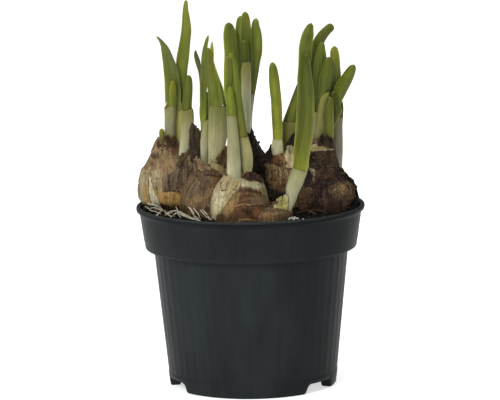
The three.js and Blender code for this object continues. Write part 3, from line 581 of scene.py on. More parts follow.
def bulb_form(body, neck, depth, outline, seed, layers, colours, crackle):
    """The rules that place and colour one bulb's skin."""
    _, side = follow([(r, 0, z) for z, r in outline])
    top = outline[-1][0]
    layers = boxed(layers)
    dark, mid, light = (tone(*c) for c in colours)
    memory = {}

    def place(u, v):
        turn = 2 * math.pi * u + 0.5 * math.sin(2 * math.pi * u)
        if v < FOOT_SHARE:
            (radius, _, z), _, _ = side(0)
            radius *= v / FOOT_SHARE
        elif v < NECK_SHARE:
            share = (v - FOOT_SHARE) / (NECK_SHARE - FOOT_SHARE)
            if share < BURIED_ROWS:
                share *= BURIED_LENGTH / BURIED_ROWS
            else:
                share = BURIED_LENGTH + (1 - BURIED_LENGTH) * (share - BURIED_ROWS) / (1 - BURIED_ROWS)
            (radius, _, z), _, _ = side(share)
        else:
            (radius, _, z), _, _ = side(1)
            sunk = (v - NECK_SHARE) / (1 - NECK_SHARE)
            radius *= 1 - 0.12 * min(sunk * 3, 1) - 0.88 * max(sunk - 0.33, 0) / 0.67
            z -= NECK_HOLLOW * sunk
        lean = soften(SHOULDER_Z, top, z)
        axis = Vector((body[0] + (neck[0] - body[0]) * lean, body[1] + (neck[1] - body[1]) * lean))
        out_x, out_y = math.sin(turn), math.cos(turn)
        spot = (out_x, out_y, z)
        # Its form: uneven, split along its height, scabbed and fibrous.
        round_spot = Vector((out_x * 3, out_y * 3, z * 0.035))
        ridge = 1 + 0.03 * noise.noise(round_spot * 0.55 + Vector((seed, 0, 0)))
        crease = bark(*spot, 3.2, 0.13, seed)
        split = math.exp(-(crease / 0.035) ** 2) * soften(-0.1, 0.3, bark(*spot, 2, 0.12, -seed))
        scab = bark(*spot, 13, 0.8, seed * 2) * crackle
        fine = 0.35 * crackle * bark(*spot, 9, 0.12, seed)
        specks = 0.2 * crackle * bark(*spot, 26, 1.2, seed)
        fine += 0.3 * scab * abs(scab) * 2 + specks - 0.4 * crackle * split
        x, y = axis.x + out_x * radius * ridge, axis.y + out_y * radius * ridge * depth
        # Its colour: peeling round the back, and the layers of tunic seen on the front.
        peel = soften(0.02, 0.1, bark(*spot, 1.5, 0.08, seed * 3) + 0.25 * bark(*spot, 6, 0.4, 0))
        front = soften(0.1, -0.15, out_y)
        colour = mixed(mid, dark, soften(0, 0.5, bark(*spot, 2, 0.1, seed * 5)))
        colour = mixed(colour, light, 0.8 * peel)
        lift = 0.45 * peel * (1 - front)
        if front > 0:
            shown = mid
            raised = 0
            for share, paint, raise_by, rim in layers_at(layers, x, z):
                shown = mixed(shown, paint, share)
                # rim multiplies in the layer's painted edge highlight and painted edge shadow.
                shown = tuple(c * rim for c in shown)
                raised += raise_by if raise_by < 0 else (raise_by - raised) * share
            colour = mixed(colour, shown, front)
            lift = lift + front * raised
        patchy = wavy(0, x, z, (1, 0.28, 0.2, seed * 2), (0.6, 1.1, 0.5, seed))
        streaky = bark(*spot, 14, 0.07, seed)
        vary = (1 + (0.2 + 0.2 * crackle) * patchy + 0.22 * streaky) * (1 - 0.55 * crackle * split)
        vary *= 1 + 0.5 * scab
        soiled = 0.5 * crackle * soften(0.25, 0.6, patchy - streaky)
        memory[(round(u, 6), round(v, 6))] = mixed(tuple(c * max(vary, 0.25) for c in colour), dark, soiled)
        push = (lift + fine) * min(1, radius / 3)
        ragged = 0
        if v > 0.85:
            teeth = 1.5 * bark(*spot, 2.5, 0, seed) - 0.6 * abs(bark(*spot, 7, 0, seed))
            ragged = teeth * soften(0.85, NECK_SHARE, v)
        return Vector((x + out_x * push, y + out_y * push, z + ragged))

    def coat(point, u, v):
        colour = memory[(round(u, 6), round(v, 6))]
        soiled = soften(*SOILED_Z, point.z)
        return mixed(colour, PEAT_DARK, 0.75 * soiled)

    return place, coat


def tunic_finish(name, roughness, streak, scurf):
    """Dry papery skin: its coat colour with fine upright fibres, small blotches and dark flaking cracks."""
    material, tree, shader = finish(name, roughness, 0.12)
    places = join(tree, "ShaderNodeTexCoord").outputs
    fibres = grain(tree, places["UV"], (150, 2.2, 1), 1, 4, 0.65)
    blotch = grain(tree, places["Object"], (1, 1, 0.45), 420, 4, 0.6)
    bent = grain(tree, places["Object"], (1, 1, 1), 300, 2)
    shift = join(tree, "ShaderNodeVectorMath", {0: bent, 1: (0.004, 0.004, 0.004)}, operation="MULTIPLY")
    moved = join(tree, "ShaderNodeVectorMath", {0: places["Object"], 1: shift.outputs[0]}, operation="ADD")
    squeezed = join(tree, "ShaderNodeMapping", {"Vector": moved.outputs[0], "Scale": (1, 1, 0.5)})
    flakes = join(tree, "ShaderNodeTexVoronoi", {"Vector": squeezed.outputs[0], "Scale": 620},
                  feature="DISTANCE_TO_EDGE")
    cracks = spread(tree, flakes.outputs["Distance"], 1 - scurf, 1 + 0.25 * scurf, 0.0, 0.28)
    coated = coat_colour(tree)
    pale = join(tree, "ShaderNodeRGBToBW", {"Color": coated})
    calm = spread(tree, pale.outputs[0], 1, 0.25, 0.15, 0.3)
    colour = coated
    for factor in (spread(tree, fibres, 1 - streak, 1 + streak), spread(tree, blotch, 0.72, 1.28), cracks):
        away = join(tree, "ShaderNodeMath", {0: factor, 1: 1.0}, operation="SUBTRACT")
        eased = join(tree, "ShaderNodeMath", {0: away.outputs[0], 1: calm, 2: 1.0},
                     operation="MULTIPLY_ADD")
        colour = shaded(tree, colour, eased.outputs[0])
    tree.links.new(colour, shader.inputs["Base Color"])
    height = join(tree, "ShaderNodeMath", {0: fibres, 1: blotch}, operation="ADD")
    height = join(tree, "ShaderNodeMath", {0: height.outputs[0], 1: cracks}, operation="ADD")
    bump = join(tree, "ShaderNodeBump", {"Height": height.outputs[0], "Strength": 0.7, "Distance": 0.0006})
    tree.links.new(bump.outputs[0], shader.inputs["Normal"])
    return material


smooth_tunic = tunic_finish("smooth_tunic", 0.55, 0.2, 0.15)
rough_tunic = tunic_finish("rough_tunic", 0.75, 0.36, 0.5)
loose_husk = coated_finish("loose_husk", 0.85, 0.08, 1400, 3, 0.7, 1.3, 0.5, 0.0004, 0.5)

# Each layer of tunic seen from the front: its colour, how far it stands out, the half width if it is
# a crease or an edge rather than an area, and its outline in x and z.
# Here and in the tables below, the dark lines that sink in (lift below zero) lie along the lower edges of
# raised tunics and the flap and in creases; their dark colours are painted shadow under those edges, over
# some of the tunics' own darker colour.
LEFT_LAYERS = [
    ((135, 114, 86), 0.0, 0,
     [(-62.6, 130.8), (-33.2, 130.3), (-33.4, 112.4), (-45.4, 111.5), (-46.4, 114.9), (-52.2, 116),
      (-54.4, 116.5), (-63, 111)]),
    ((136, 113, 79), 0.0, 0,
     [(-47.9, 122.2), (-44.2, 123.8), (-40, 122.2), (-39, 118.7), (-40.6, 114.9), (-45.3, 113.5),
      (-46.9, 116.4)]),
    ((76, 54, 39), 0.0, 0,
     [(-52.2, 122), (-50.6, 123.3), (-47.9, 123.4), (-47.4, 121.7), (-49, 120.4), (-51.6, 120.3)]),
    ((98, 66, 37), 0.0, 0,
     [(-52.7, 118.7), (-51.1, 119.5), (-49.5, 118.7), (-50.1, 117.2), (-52.2, 116.9)]),
    ((84, 63, 47), 0.0, 0,
     [(-48.4, 128.5), (-44.1, 129.7), (-39, 128.4), (-37.9, 126.8), (-41.6, 126.7), (-46.8, 127.2)]),
    ((108, 73, 49), 0.0, 0, [(-42.6, 125.7), (-39, 126), (-36.9, 123.8), (-38.5, 122.5), (-41.6, 123.2)]),
    ((142, 118, 85), 0.0, 0, [(-50, 125.8), (-46.3, 126.7), (-45.2, 124.7), (-48.4, 123.6)]),
    ((152, 136, 102), 0.0, 0, [(-63, 114.8), (-52.2, 115.5), (-51.8, 105), (-51, 93.9), (-63.5, 92.3)]),
    ((149, 125, 76), 0.0, 0,
     [(-56.1, 107.5), (-53.3, 108.9), (-52.4, 102.8), (-52.6, 96.1), (-55.3, 96.7), (-56.7, 101)]),
    ((122, 106, 83), 0.0, 0, [(-63.1, 110.5), (-58, 110.4), (-57.8, 103.8), (-56.9, 97.4), (-63.4, 94.5)]),
    ((156, 141, 107), 0.0, 0,
     [(-51.9, 115.1), (-46.9, 115.2), (-45.9, 111.5), (-45.5, 104.3), (-48.1, 105.2), (-50.7, 107.2),
      (-51.7, 111.2)]),
    ((163, 140, 91), 0.0, 0,
     [(-51.7, 108.6), (-49.1, 107.3), (-45.5, 104.3), (-44.5, 100), (-47.2, 98.4), (-49.7, 102)]),
    ((101, 84, 59), -0.1, 0.35, [(-51.9, 115.1), (-52, 111.1), (-51.7, 108.1)]),
    ((82, 61, 36), -0.1, 0.3, [(-52.9, 110), (-53.2, 104.8), (-52.8, 100.1), (-52, 97.4)]),
    ((106, 86, 51), 0.0, 0.3, [(-54.6, 113.7), (-55, 107.7), (-54.5, 101.5)]),
    ((111, 82, 46), 0.0, 0.3, [(-49.1, 107.3), (-48.1, 103.1), (-46.6, 99.5)]),
    ((176, 167, 138), 0.4, 0,
     [(-52.3, 113.8), (-51.6, 109.6), (-50.7, 106.6), (-49.6, 103.6), (-48, 100), (-46.2, 95.2),
      (-45.6, 93.6), (-49.8, 93.8), (-51.2, 97.8), (-52.3, 101.4), (-52.9, 104.9), (-52.8, 109)]),
    ((160, 128, 78), 0.3, 0,
     [(-45.5, 104.1), (-40.8, 104.3), (-37.7, 104), (-35.4, 102.9), (-35.2, 99.7), (-36.3, 95.7),
      (-40.5, 95.7), (-44.6, 97.3), (-47.2, 98.6), (-48.2, 101.5), (-48.1, 103.7)]),
    ((195, 160, 87), 0.0, 0, [(-39.2, 103.4), (-35.6, 102.4), (-35.7, 98.1), (-38.3, 97.1), (-39.8, 100)]),
    ((146, 114, 66), 0.0, 0.3, [(-45.5, 102.2), (-41.9, 100.6), (-38.3, 99.9)]),
    ((61, 52, 43), -0.15, 0.35, [(-45.5, 104.6), (-40.8, 104.9), (-37.7, 104.5), (-35.1, 103.4)]),
    ((52, 40, 27), -0.3, 0,
     [(-46.7, 98.2), (-44.1, 96.9), (-41, 95.4), (-35.8, 95.1), (-35.9, 90.7), (-48.5, 90.9)]),
    ((69, 63, 40), -0.2, 0.4, [(-48.7, 111.2), (-47.8, 111)]),
    ((112, 93, 66), 0.7, 0,
     [(-48.7, 128.2), (-48.4, 129.7), (-47.3, 131.1), (-46.5, 130.4), (-45.2, 131.3), (-44.1, 132.1),
      (-42.5, 131.5), (-41, 132.5), (-39.9, 131.3), (-39.5, 129.4), (-38.4, 127.3), (-41.5, 127.1),
      (-45.2, 127), (-47.3, 127.4)]),
    ((48, 34, 27), -0.1, 0.5, [(-46.3, 127.9), (-44.2, 127.5), (-41.5, 127.6), (-39.5, 127)]),
    ((53, 38, 30), -0.1, 0.4, [(-44.6, 130.2), (-43.6, 129.2), (-42, 129.7)]),
    ((57, 29, 26), -0.1, 0.45, [(-41.7, 128.4), (-40.2, 127.9)]),
]
MID_LEFT_LAYERS = [
    ((114, 93, 65), 0.0, 0, [(-38.2, 123), (-9.2, 122.5), (-9.7, 88.7), (-38.9, 89.2)]),
    ((129, 103, 71), 0.0, 0,
     [(-33.3, 104.2), (-25.9, 106), (-19.8, 104.9), (-19.3, 99.8), (-26, 101), (-32.3, 98.9)]),
    ((92, 75, 57), 0.0, 0,
     [(-27.9, 116.4), (-22.7, 116.4), (-21.2, 112), (-22.3, 107), (-26.9, 107.9), (-29, 112.1)]),
    ((156, 124, 89), 0.0, 0, [(-22.3, 108), (-18.6, 110.9), (-17.6, 108.3), (-19.8, 104.9), (-22.4, 104)]),
    ((108, 92, 69), 0.15, 0,
     [(-33.8, 104), (-31.1, 109.4), (-27.9, 113.6), (-25.9, 111.9), (-28, 106.9), (-30.1, 102.7)]),
    ((115, 93, 61), 0.25, 0,
     [(-29.9, 121.8), (-27.8, 123.1), (-26.2, 124.5), (-24.7, 123.3), (-22.1, 121.4), (-22.6, 118.9),
      (-24.7, 117.3), (-27.9, 118.1), (-30.5, 119.2)]),
    ((148, 126, 83), 0.2, 0, [(-27.6, 123.9), (-26.2, 124.8), (-25.7, 122.5), (-26.8, 121.1)]),
    ((91, 73, 52), 0.3, 0,
     [(-30, 117.6), (-27.9, 117.5), (-24.7, 117), (-25.8, 114.8), (-29, 114.3), (-31.1, 115)]),
    ((89, 71, 53), 0.5, 0,
     [(-24.2, 120.7), (-21.6, 121.1), (-18.5, 120.1), (-15.4, 117.8), (-13.4, 115.8), (-11.4, 113.3),
      (-13.4, 113.5), (-16.5, 115.1), (-20.1, 115.7), (-23.2, 115.9), (-24.7, 117.8)]),
    ((120, 89, 63), 0.3, 0.45, [(-22.6, 119.9), (-19.5, 118.9), (-17, 117.3), (-15, 115.4)]),
    ((37, 28, 21), -0.2, 0.3, [(-23.7, 115.6), (-20.6, 115.3), (-17, 114.6), (-13.4, 113.1)]),
    ((110, 80, 51), 0.15, 0,
     [(-19.6, 115), (-16.5, 114.3), (-14.5, 112.5), (-15, 110), (-17.1, 110.3), (-19.1, 112.5)]),
    ((49, 39, 31), -0.2, 0.3, [(-28.7, 112.6), (-30.6, 110.4), (-32.2, 107.7), (-33.5, 105)]),
    ((36, 23, 20), -0.2, 0.35, [(-27.9, 114.8), (-27.4, 114.5)]),
    ((70, 59, 46), -0.2, 0.5, [(-25.9, 110), (-25.1, 108.5)]),
    ((82, 65, 50), -0.3, 0, [(-24.5, 98.9), (-21.9, 99.7), (-19.9, 98.8), (-19.9, 96.2), (-23, 96.3)]),
    ((80, 59, 35), -0.2, 0, [(-36.1, 99.9), (-33.3, 99.7), (-31.3, 97.5), (-32.4, 94), (-36.7, 93.4)]),
    ((126, 104, 77), 0.1, 0.3, [(-21.7, 110), (-21.3, 106), (-21.9, 102)]),
    ((94, 78, 58), 0.1, 0.3, [(-24.3, 110), (-23.9, 105)]),
]
FRONT_LAYERS = [
    ((162, 148, 112), 0.0, 0,
     [(-23, 122.2), (13, 121.6), (12.6, 101), (-5.3, 106.1), (-18.4, 91.3), (-23.6, 90.6)]),
    ((181, 173, 138), 0.0, 0,
     [(-19.1, 108.2), (-15.5, 110.3), (-12.4, 109.8), (-14.5, 104.3), (-17.2, 98.3), (-19.8, 97.6)]),
    ((154, 141, 100), 0.15, 0,
     [(-11.3, 114.8), (-9.2, 116.1), (-6.1, 116.5), (-5.1, 115.1), (-5.2, 111.9), (-7.2, 110.9),
      (-9.3, 108.5), (-11.9, 106.5), (-12.9, 108.8), (-12.3, 112)]),
    ((197, 185, 142), 0.0, 0,
     [(-18.7, 102.6), (-16.1, 104.1), (-16.6, 100), (-18.8, 95.8), (-20.4, 94.7)]),
    ((158, 151, 117), 0.1, 0,
     [(-4.6, 115.6), (0, 114.9), (4.1, 114.5), (6.1, 112.5), (7.1, 110), (2.5, 111.1), (-1.6, 112.4),
      (-4.7, 112.8)]),
    ((122, 108, 76), 0.0, 0,
     [(6.1, 111.6), (8.1, 108.8), (9.6, 104.7), (8, 104.5), (6.5, 107.4), (5.5, 110)]),
    ((66, 52, 28), -0.3, 0.35,
     [(-15.3, 113.5), (-15, 111.7), (-14.1, 110.1), (-12.9, 110.6), (-12.1, 112.5), (-11.3, 114.6)]),
    ((146, 128, 86), 0.0, 0.25, [(-14.9, 111.7), (-16, 109.3), (-16.5, 106)]),
    ((133, 112, 77), 0.0, 0.3, [(-12.4, 106.9), (-10.3, 109.4), (-7.2, 111.4)]),
    ((86, 72, 45), 0.0, 0.3, [(-4.6, 113.7), (-4.9, 111.4)]),
    ((58, 38, 29), 0.5, 0,
     [(-3, 118), (-2, 119.5), (0.1, 119.8), (2.6, 118.8), (4.1, 117.1), (6.2, 115.5), (7.2, 112.9),
      (4.6, 114.4), (1, 115.3), (-1, 115.7), (-2, 116.4)]),
    ((60, 45, 31), -0.2, 0.35, [(-2.1, 115.8), (1, 115), (4.1, 114.6), (6.1, 112.9)]),
    ((101, 80, 54), 0.45, 0,
     [(-5.2, 112.2), (-1.6, 112.2), (2, 111.2), (5, 109.9), (6.5, 107.4), (8, 105), (9.6, 102.1),
      (13.1, 100.4), (13, 90), (-18.9, 90.9), (-17.2, 96.2), (-15.1, 99.7), (-12.5, 103.8),
      (-10.4, 106.6), (-8.3, 108.8), (-6.7, 110.9)]),
    ((50, 36, 23), 0.0, 0,
     [(-6.2, 111.2), (-1.6, 111.6), (2.5, 110.5), (5.5, 109), (6, 107.5), (1.9, 109.1), (-2.2, 109.9),
      (-5.7, 109.5)]),
    ((134, 111, 69), 0.0, 0,
     [(-6.9, 109.6), (-4.6, 109.9), (-6.2, 106.6), (-7.6, 103.4), (-9.6, 101.1), (-13, 99.9),
      (-14.6, 99.2), (-12, 104)]),
    ((137, 111, 66), 0.0, 0, [(-11.4, 103.6), (-7.3, 106.2), (-6.4, 103.2), (-9.5, 99.6), (-12.5, 99.4)]),
    ((83, 58, 36), 0.0, 0,
     [(-4.4, 109.4), (-0.1, 108.8), (2.9, 107.1), (0.8, 104.3), (-5, 103.4), (-7.2, 103.6), (-5.8, 106.4)]),
    ((104, 85, 62), 0.1, 0,
     [(-0.1, 107.9), (3.4, 107.7), (6, 106.1), (7.5, 103.7), (3.9, 103.5), (0.3, 104.1)]),
    ((47, 30, 19), 0.0, 0.25, [(-3.2, 108.3), (0.4, 108), (2.6, 107.2)]),
    ((114, 90, 61), 0.0, 0.25, [(-4.2, 106), (-1.2, 106.6), (1.2, 106.1)]),
    ((158, 129, 88), 0.1, 0.22, [(-6.6, 103.5), (-3.2, 104.2), (0.4, 103.7), (3.2, 103.9), (6.4, 103)]),
    ((50, 32, 18), -0.2, 0.3, [(-8.2, 102.2), (-5.2, 102.9), (-0.2, 103.1), (4.9, 102.2), (9, 101)]),
    ((90, 60, 38), 0.0, 0,
     [(-8, 102.3), (-3, 103), (2.8, 102.1), (10, 99.4), (10, 96.8), (5.8, 94.8), (-5.4, 96), (-9.8, 98)]),
    ((48, 30, 21), 0.0, 0,
     [(-4.3, 102.1), (-1.3, 102.2), (1.3, 100.7), (0.7, 98.7), (-2.3, 98.4), (-4.4, 100.1)]),
    ((141, 95, 58), 0.0, 0, [(1.8, 100.7), (5.9, 100.6), (9, 98.5), (7.9, 95.8), (2.7, 96.4)]),
    ((83, 59, 36), 0.0, 0, [(-10.5, 100), (-5.4, 100.6), (-3.4, 98), (-5.5, 95.4), (-11.1, 95.3)]),
    ((158, 125, 87), 0.0, 0.35, [(-5.4, 96.2), (-1.4, 96.3), (3.7, 95.2)]),
    ((116, 90, 57), 0.0, 0.3, [(-9.9, 106.6), (-11.4, 104.1), (-13.5, 100.9)]),
    ((110, 82, 50), 0.0, 0.3, [(-7.3, 107.6), (-8.4, 104.2), (-10, 101.1)]),
    ((83, 68, 47), -0.2, 0,
     [(-17.2, 98), (-15.1, 99), (-13.1, 98.9), (-12.6, 97.3), (-13.6, 95.1), (-18.3, 93.7)]),
    ((65, 56, 39), -0.1, 0.35, [(-7.3, 112.9), (-7, 112.6)]),
    ((93, 80, 58), -0.1, 0.3, [(-11.9, 108.4), (-11.6, 108)]),
    ((86, 72, 50), -0.1, 0.3, [(-8.6, 111.1), (-8.3, 110.8)]),
    ((116, 104, 74), -0.1, 0.3, [(-12.9, 105.7), (-12.6, 105.6)]),
]
OFFSET_LAYERS = [
    ((118, 102, 76), 0.0, 0, [(0.8, 103), (23.4, 102.6), (23.2, 91.4), (0.6, 90.6)]),
    ((83, 63, 39), 0.0, 0,
     [(5.9, 100.5), (11, 101.1), (17.1, 100.4), (17.1, 98.7), (9.9, 98.9), (5.9, 98.7)]),
    ((136, 103, 65), 0.0, 0, [(5.9, 98.5), (11, 98.7), (13.5, 97.3), (9.9, 95.3), (5.8, 95.4)]),
    ((100, 80, 56), 0.0, 0, [(14, 99.3), (19.2, 99.5), (20.7, 97.9), (18, 95.2), (14, 95.9)]),
    ((31, 21, 12), -0.2, 0.3, [(5.9, 100.8), (9, 101.3), (11.5, 101)]),
    ((96, 69, 45), -0.1, 0.3, [(9.9, 97.5), (14, 97.2), (18.1, 97.7)]),
    ((107, 85, 59), 0.1, 0.3, [(7.9, 100.3), (12, 100.3), (16.1, 99.7)]),
]
MID_RIGHT_LAYERS = [
    ((146, 123, 88), 0.0, 0, [(3, 128.3), (26.6, 127.9), (26, 83.9), (2.3, 84.3)]),
    ((158, 132, 93), 0.0, 0,
     [(9.6, 115.9), (15.8, 116.8), (22.1, 115.5), (22, 109.5), (15.7, 108.6), (9.4, 109.1)]),
    ((145, 121, 85), 0.0, 0, [(10.6, 114.5), (13.2, 115.3), (14.7, 112.8), (12.6, 110.6), (10.5, 111.4)]),
    ((151, 128, 92), 0.0, 0, [(16.3, 115.3), (20, 114.7), (19.9, 111.7), (17.3, 111.8)]),
    ((164, 129, 87), 0.0, 0,
     [(10.5, 108.2), (15.2, 109.1), (19.3, 108.5), (18.8, 104.9), (14, 103.7), (10.4, 104.5)]),
    ((104, 75, 46), 0.4, 0,
     [(10.2, 119.8), (11.8, 121.5), (13.9, 123.1), (16.5, 123.4), (18, 121.6), (19.5, 119.1), (19, 117.2),
      (15.3, 116.6), (11.7, 117.2), (10.1, 117.9)]),
    ((160, 123, 78), 0.0, 0, [(14.9, 121.1), (18, 120.6), (19.5, 118.7), (17.9, 117.3), (15.3, 118.3)]),
    ((78, 62, 43), -0.2, 0.35, [(10.1, 116.7), (12.7, 116.5), (15.8, 115.8), (18.9, 116)]),
    ((221, 213, 147), 0.45, 0,
     [(17.7, 122.8), (19.1, 123.1), (20.7, 124.5), (22.9, 125.8), (25, 125.8), (24.7, 115.2), (18.9, 116),
      (19.8, 118.2), (18.7, 120.6)]),
    # A dark area down the left of this bulb: soil crumbs on it, and painted shade between it and the back
    # bulb.
    ((36, 35, 31), 0.0, 0,
     [(4.5, 128.2), (10.8, 124.2), (9.7, 120.7), (8.8, 115.8), (8.7, 110.1), (9.9, 104.4), (11.4, 99.8),
      (13.4, 95.6), (2.9, 93.9)]),
    ((73, 62, 55), -0.1, 0,
     [(9.4, 103.2), (14.6, 104.1), (17.7, 103.3), (20.8, 103.2), (20.7, 95.7), (9.2, 95)]),
    ((105, 83, 65), 0.0, 0.4, [(12.5, 102), (15.1, 102.7), (17.2, 101.7)]),
    ((131, 102, 76), 0.0, 0, [(13, 105.3), (16.7, 105.9), (18.8, 104.3), (16.1, 102.7), (13.5, 103.2)]),
]
RIGHT_LAYERS = [
    ((86, 67, 55), 0.0, 0, [(22.4, 137.2), (64.2, 136.5), (63.6, 85.3), (21.7, 86)]),
    ((121, 97, 76), 0.0, 0, [(29.6, 131.3), (46.4, 131), (46.3, 123.7), (29.5, 123.9)]),
    ((70, 58, 42), 0.3, 0,
     [(31.6, 123.6), (36.7, 124.5), (44.7, 123.8), (45.1, 119.7), (46.4, 115.8), (41.8, 116.3),
      (36.6, 116.7), (31.5, 115.2)]),
    ((94, 74, 51), 0.0, 0, [(35.2, 123.6), (38.8, 124), (39.3, 120.6), (36.6, 119), (34.6, 121)]),
    ((86, 66, 47), 0.0, 0, [(39.8, 123.6), (44.1, 123), (44.6, 119.4), (40.8, 119.5)]),
    ((35, 25, 19), 0.0, 0, [(31.6, 121.8), (34.1, 123), (34.1, 118.3), (31.5, 117.1)]),
    ((88, 70, 51), 0.0, 0.4, [(33.1, 120.8), (36.7, 120.6), (40.9, 121.2)]),
    ((76, 65, 53), 0.0, 0.35, [(32.5, 118), (37.7, 118.2), (44, 118.6)]),
    ((174, 162, 113), 0.35, 0,
     [(30.6, 123.6), (31.8, 125.9), (33.2, 127.9), (35.2, 127.8), (37.8, 127), (40.9, 125.7),
      (45.4, 124.1), (40.9, 124.6), (35.7, 124.5)]),
    ((155, 135, 95), -0.1, 0.3, [(32.6, 125.6), (36.2, 126.1), (40.4, 125.2)]),
    ((96, 87, 71), 0.0, 0.35, [(32, 115.3), (36.6, 116.1), (41.8, 116.2), (45.6, 116.3)]),
    ((34, 28, 23), -0.2, 0.3, [(31.5, 114.4), (36.6, 115.5), (42.3, 115.6), (46.7, 115)]),
    ((90, 69, 51), 0.0, 0,
     [(34.5, 114.8), (40.7, 115.2), (45, 114.5), (45.9, 112.6), (42.7, 110.6), (37.5, 110.2),
      (34.4, 111.5)]),
    ((84, 64, 47), 0.0, 0, [(39.7, 115.1), (43.9, 114.6), (43.8, 112.4), (40.1, 112.6)]),
    ((144, 131, 105), 0.3, 0,
     [(31.2, 114.8), (33.2, 115.1), (34.3, 114.3), (34.1, 112.4), (33.6, 110.5), (33.5, 107.8),
      (32.8, 109.5), (32.3, 112.2)]),
    ((47, 36, 30), 0.0, 0,
     [(27.3, 113.5), (31, 114.5), (32.4, 111.8), (32.7, 107.7), (30.1, 106), (26.6, 106.6)]),
    ((58, 44, 36), 0.0, 0,
     [(34.4, 110.6), (42.7, 110.6), (45.8, 109.4), (43.6, 106.8), (37.3, 104.5), (33.2, 105.8)]),
    ((44, 37, 33), 0.1, 0,
     [(43.9, 115.1), (47.1, 114.1), (49.7, 111.1), (52.3, 108.1), (49, 108.6), (45.8, 109.4),
      (43.8, 111.4)]),
    ((78, 60, 50), 0.0, 0.4, [(35.3, 107.9), (38.5, 108.8), (41.6, 108.3)]),
    ((93, 73, 53), 0.3, 0,
     [(39.4, 105.5), (42, 107.1), (45.8, 108.5), (49.5, 107.8), (52.8, 107.6), (56, 106.7), (56.4, 97.1),
      (52, 99.3), (48.2, 98.8), (45, 99.7), (43, 101.9), (40.9, 103.8)]),
    ((126, 104, 72), 0.0, 0,
     [(45.2, 107.2), (49.4, 107.2), (52.1, 105.3), (50.4, 102.2), (46.7, 101.6), (44.1, 104.8)]),
    ((81, 62, 40), -0.1, 0.25, [(43.6, 105.9), (47.3, 106.1), (51.5, 104.5)]),
    ((100, 75, 47), -0.1, 0.25, [(44.6, 103.3), (48.3, 104), (52.5, 102.2)]),
    ((96, 70, 45), -0.1, 0.25, [(45.6, 101), (48.8, 101.4), (52.5, 99.7)]),
    ((140, 118, 82), 0.0, 0.3, [(43, 104.6), (45.7, 106.7), (48.9, 107.3)]),
    ((116, 91, 66), 0.2, 0,
     [(24.4, 95.5), (26, 102.2), (27.6, 104.9), (30.1, 106), (33.2, 104.9), (35.7, 103), (34.1, 100.3),
      (31.5, 98), (28.4, 94.2), (24.9, 91.3)]),
    ((103, 77, 56), 0.0, 0, [(27.5, 103.7), (30.6, 104.6), (32.1, 102.8), (29, 100.9), (26.5, 100.3)]),
    ((84, 59, 49), 0.0, 0.35, [(25.9, 98.6), (29, 100.4), (32.6, 101.3)]),
    ((94, 73, 63), 0.0, 0.35, [(25.9, 95.7), (29, 97.7), (32, 97.5)]),
    ((97, 73, 67), 0.0, 0,
     [(31.6, 103.7), (36.3, 105), (39.4, 103), (38.3, 98.8), (33.1, 97.6), (31.6, 100.1)]),
    ((99, 78, 62), 0.15, 0,
     [(37.6, 102), (39.3, 102.5), (40.4, 100.4), (39.8, 95.6), (37.2, 95.6), (37.2, 99.4)]),
    ((71, 54, 46), 0.1, 0,
     [(40.7, 103.3), (43.5, 101.3), (46.6, 99), (47.6, 95.1), (41.3, 94.5), (40.7, 99.3)]),
    ((68, 47, 40), 0.0, 0.3, [(41.9, 100.4), (43.4, 97.7), (44, 94.9)]),
    ((111, 96, 82), 0.0, 0, [(47.1, 98.9), (50.3, 98.7), (50.8, 95.7), (48.2, 94.5)]),
    ((46, 38, 32), -0.3, 0.7, [(36.2, 106), (36.8, 104), (36.2, 101.4)]),
    ((60, 49, 41), 0.0, 0,
     [(52.9, 107.8), (57.6, 108.8), (57.9, 93.9), (51.4, 95.6), (53.4, 98.9), (54.2, 103.2)]),
]
BACK_LAYERS = [
    ((87, 74, 63), 0.0, 0, [(-12.8, 136.1), (16.4, 135.6), (15.6, 80.6), (-13.7, 81.1)]),
    ((102, 86, 74), 0.3, 0,
     [(1.4, 125.4), (4.6, 124.2), (6.6, 119.8), (7.6, 117), (4.4, 115.7), (1.8, 118.9)]),
    ((111, 94, 75), 0.2, 0, [(1.2, 116), (4.4, 115.7), (6.5, 111.4), (6.4, 108.4), (2.2, 109.9)]),
    ((117, 102, 81), 0.0, 0.4, [(1.8, 120.8), (3.9, 116.8), (5.4, 111.6)]),
    ((110, 95, 81), 0.0, 0.35, [(3.5, 122.6), (5.5, 118.5), (7, 113.3)]),
    ((120, 94, 67), 0.0, 0.35, [(1.2, 114.5), (3.3, 110.8)]),
]

# The dark, middle and light colour of each bulb's skin.
TAN = ((88, 68, 46), (124, 102, 72), (150, 134, 100))
RUSSET = ((62, 44, 30), (100, 74, 48), (146, 130, 92))
ROSY = ((70, 54, 40), (104, 84, 64), (136, 116, 84))
UMBER = ((40, 31, 26), (72, 56, 44), (112, 92, 64))
TAWNY = ((60, 48, 34), (96, 78, 54), (140, 122, 84))
BLACKISH = ((28, 24, 20), (50, 41, 32), (84, 70, 52))

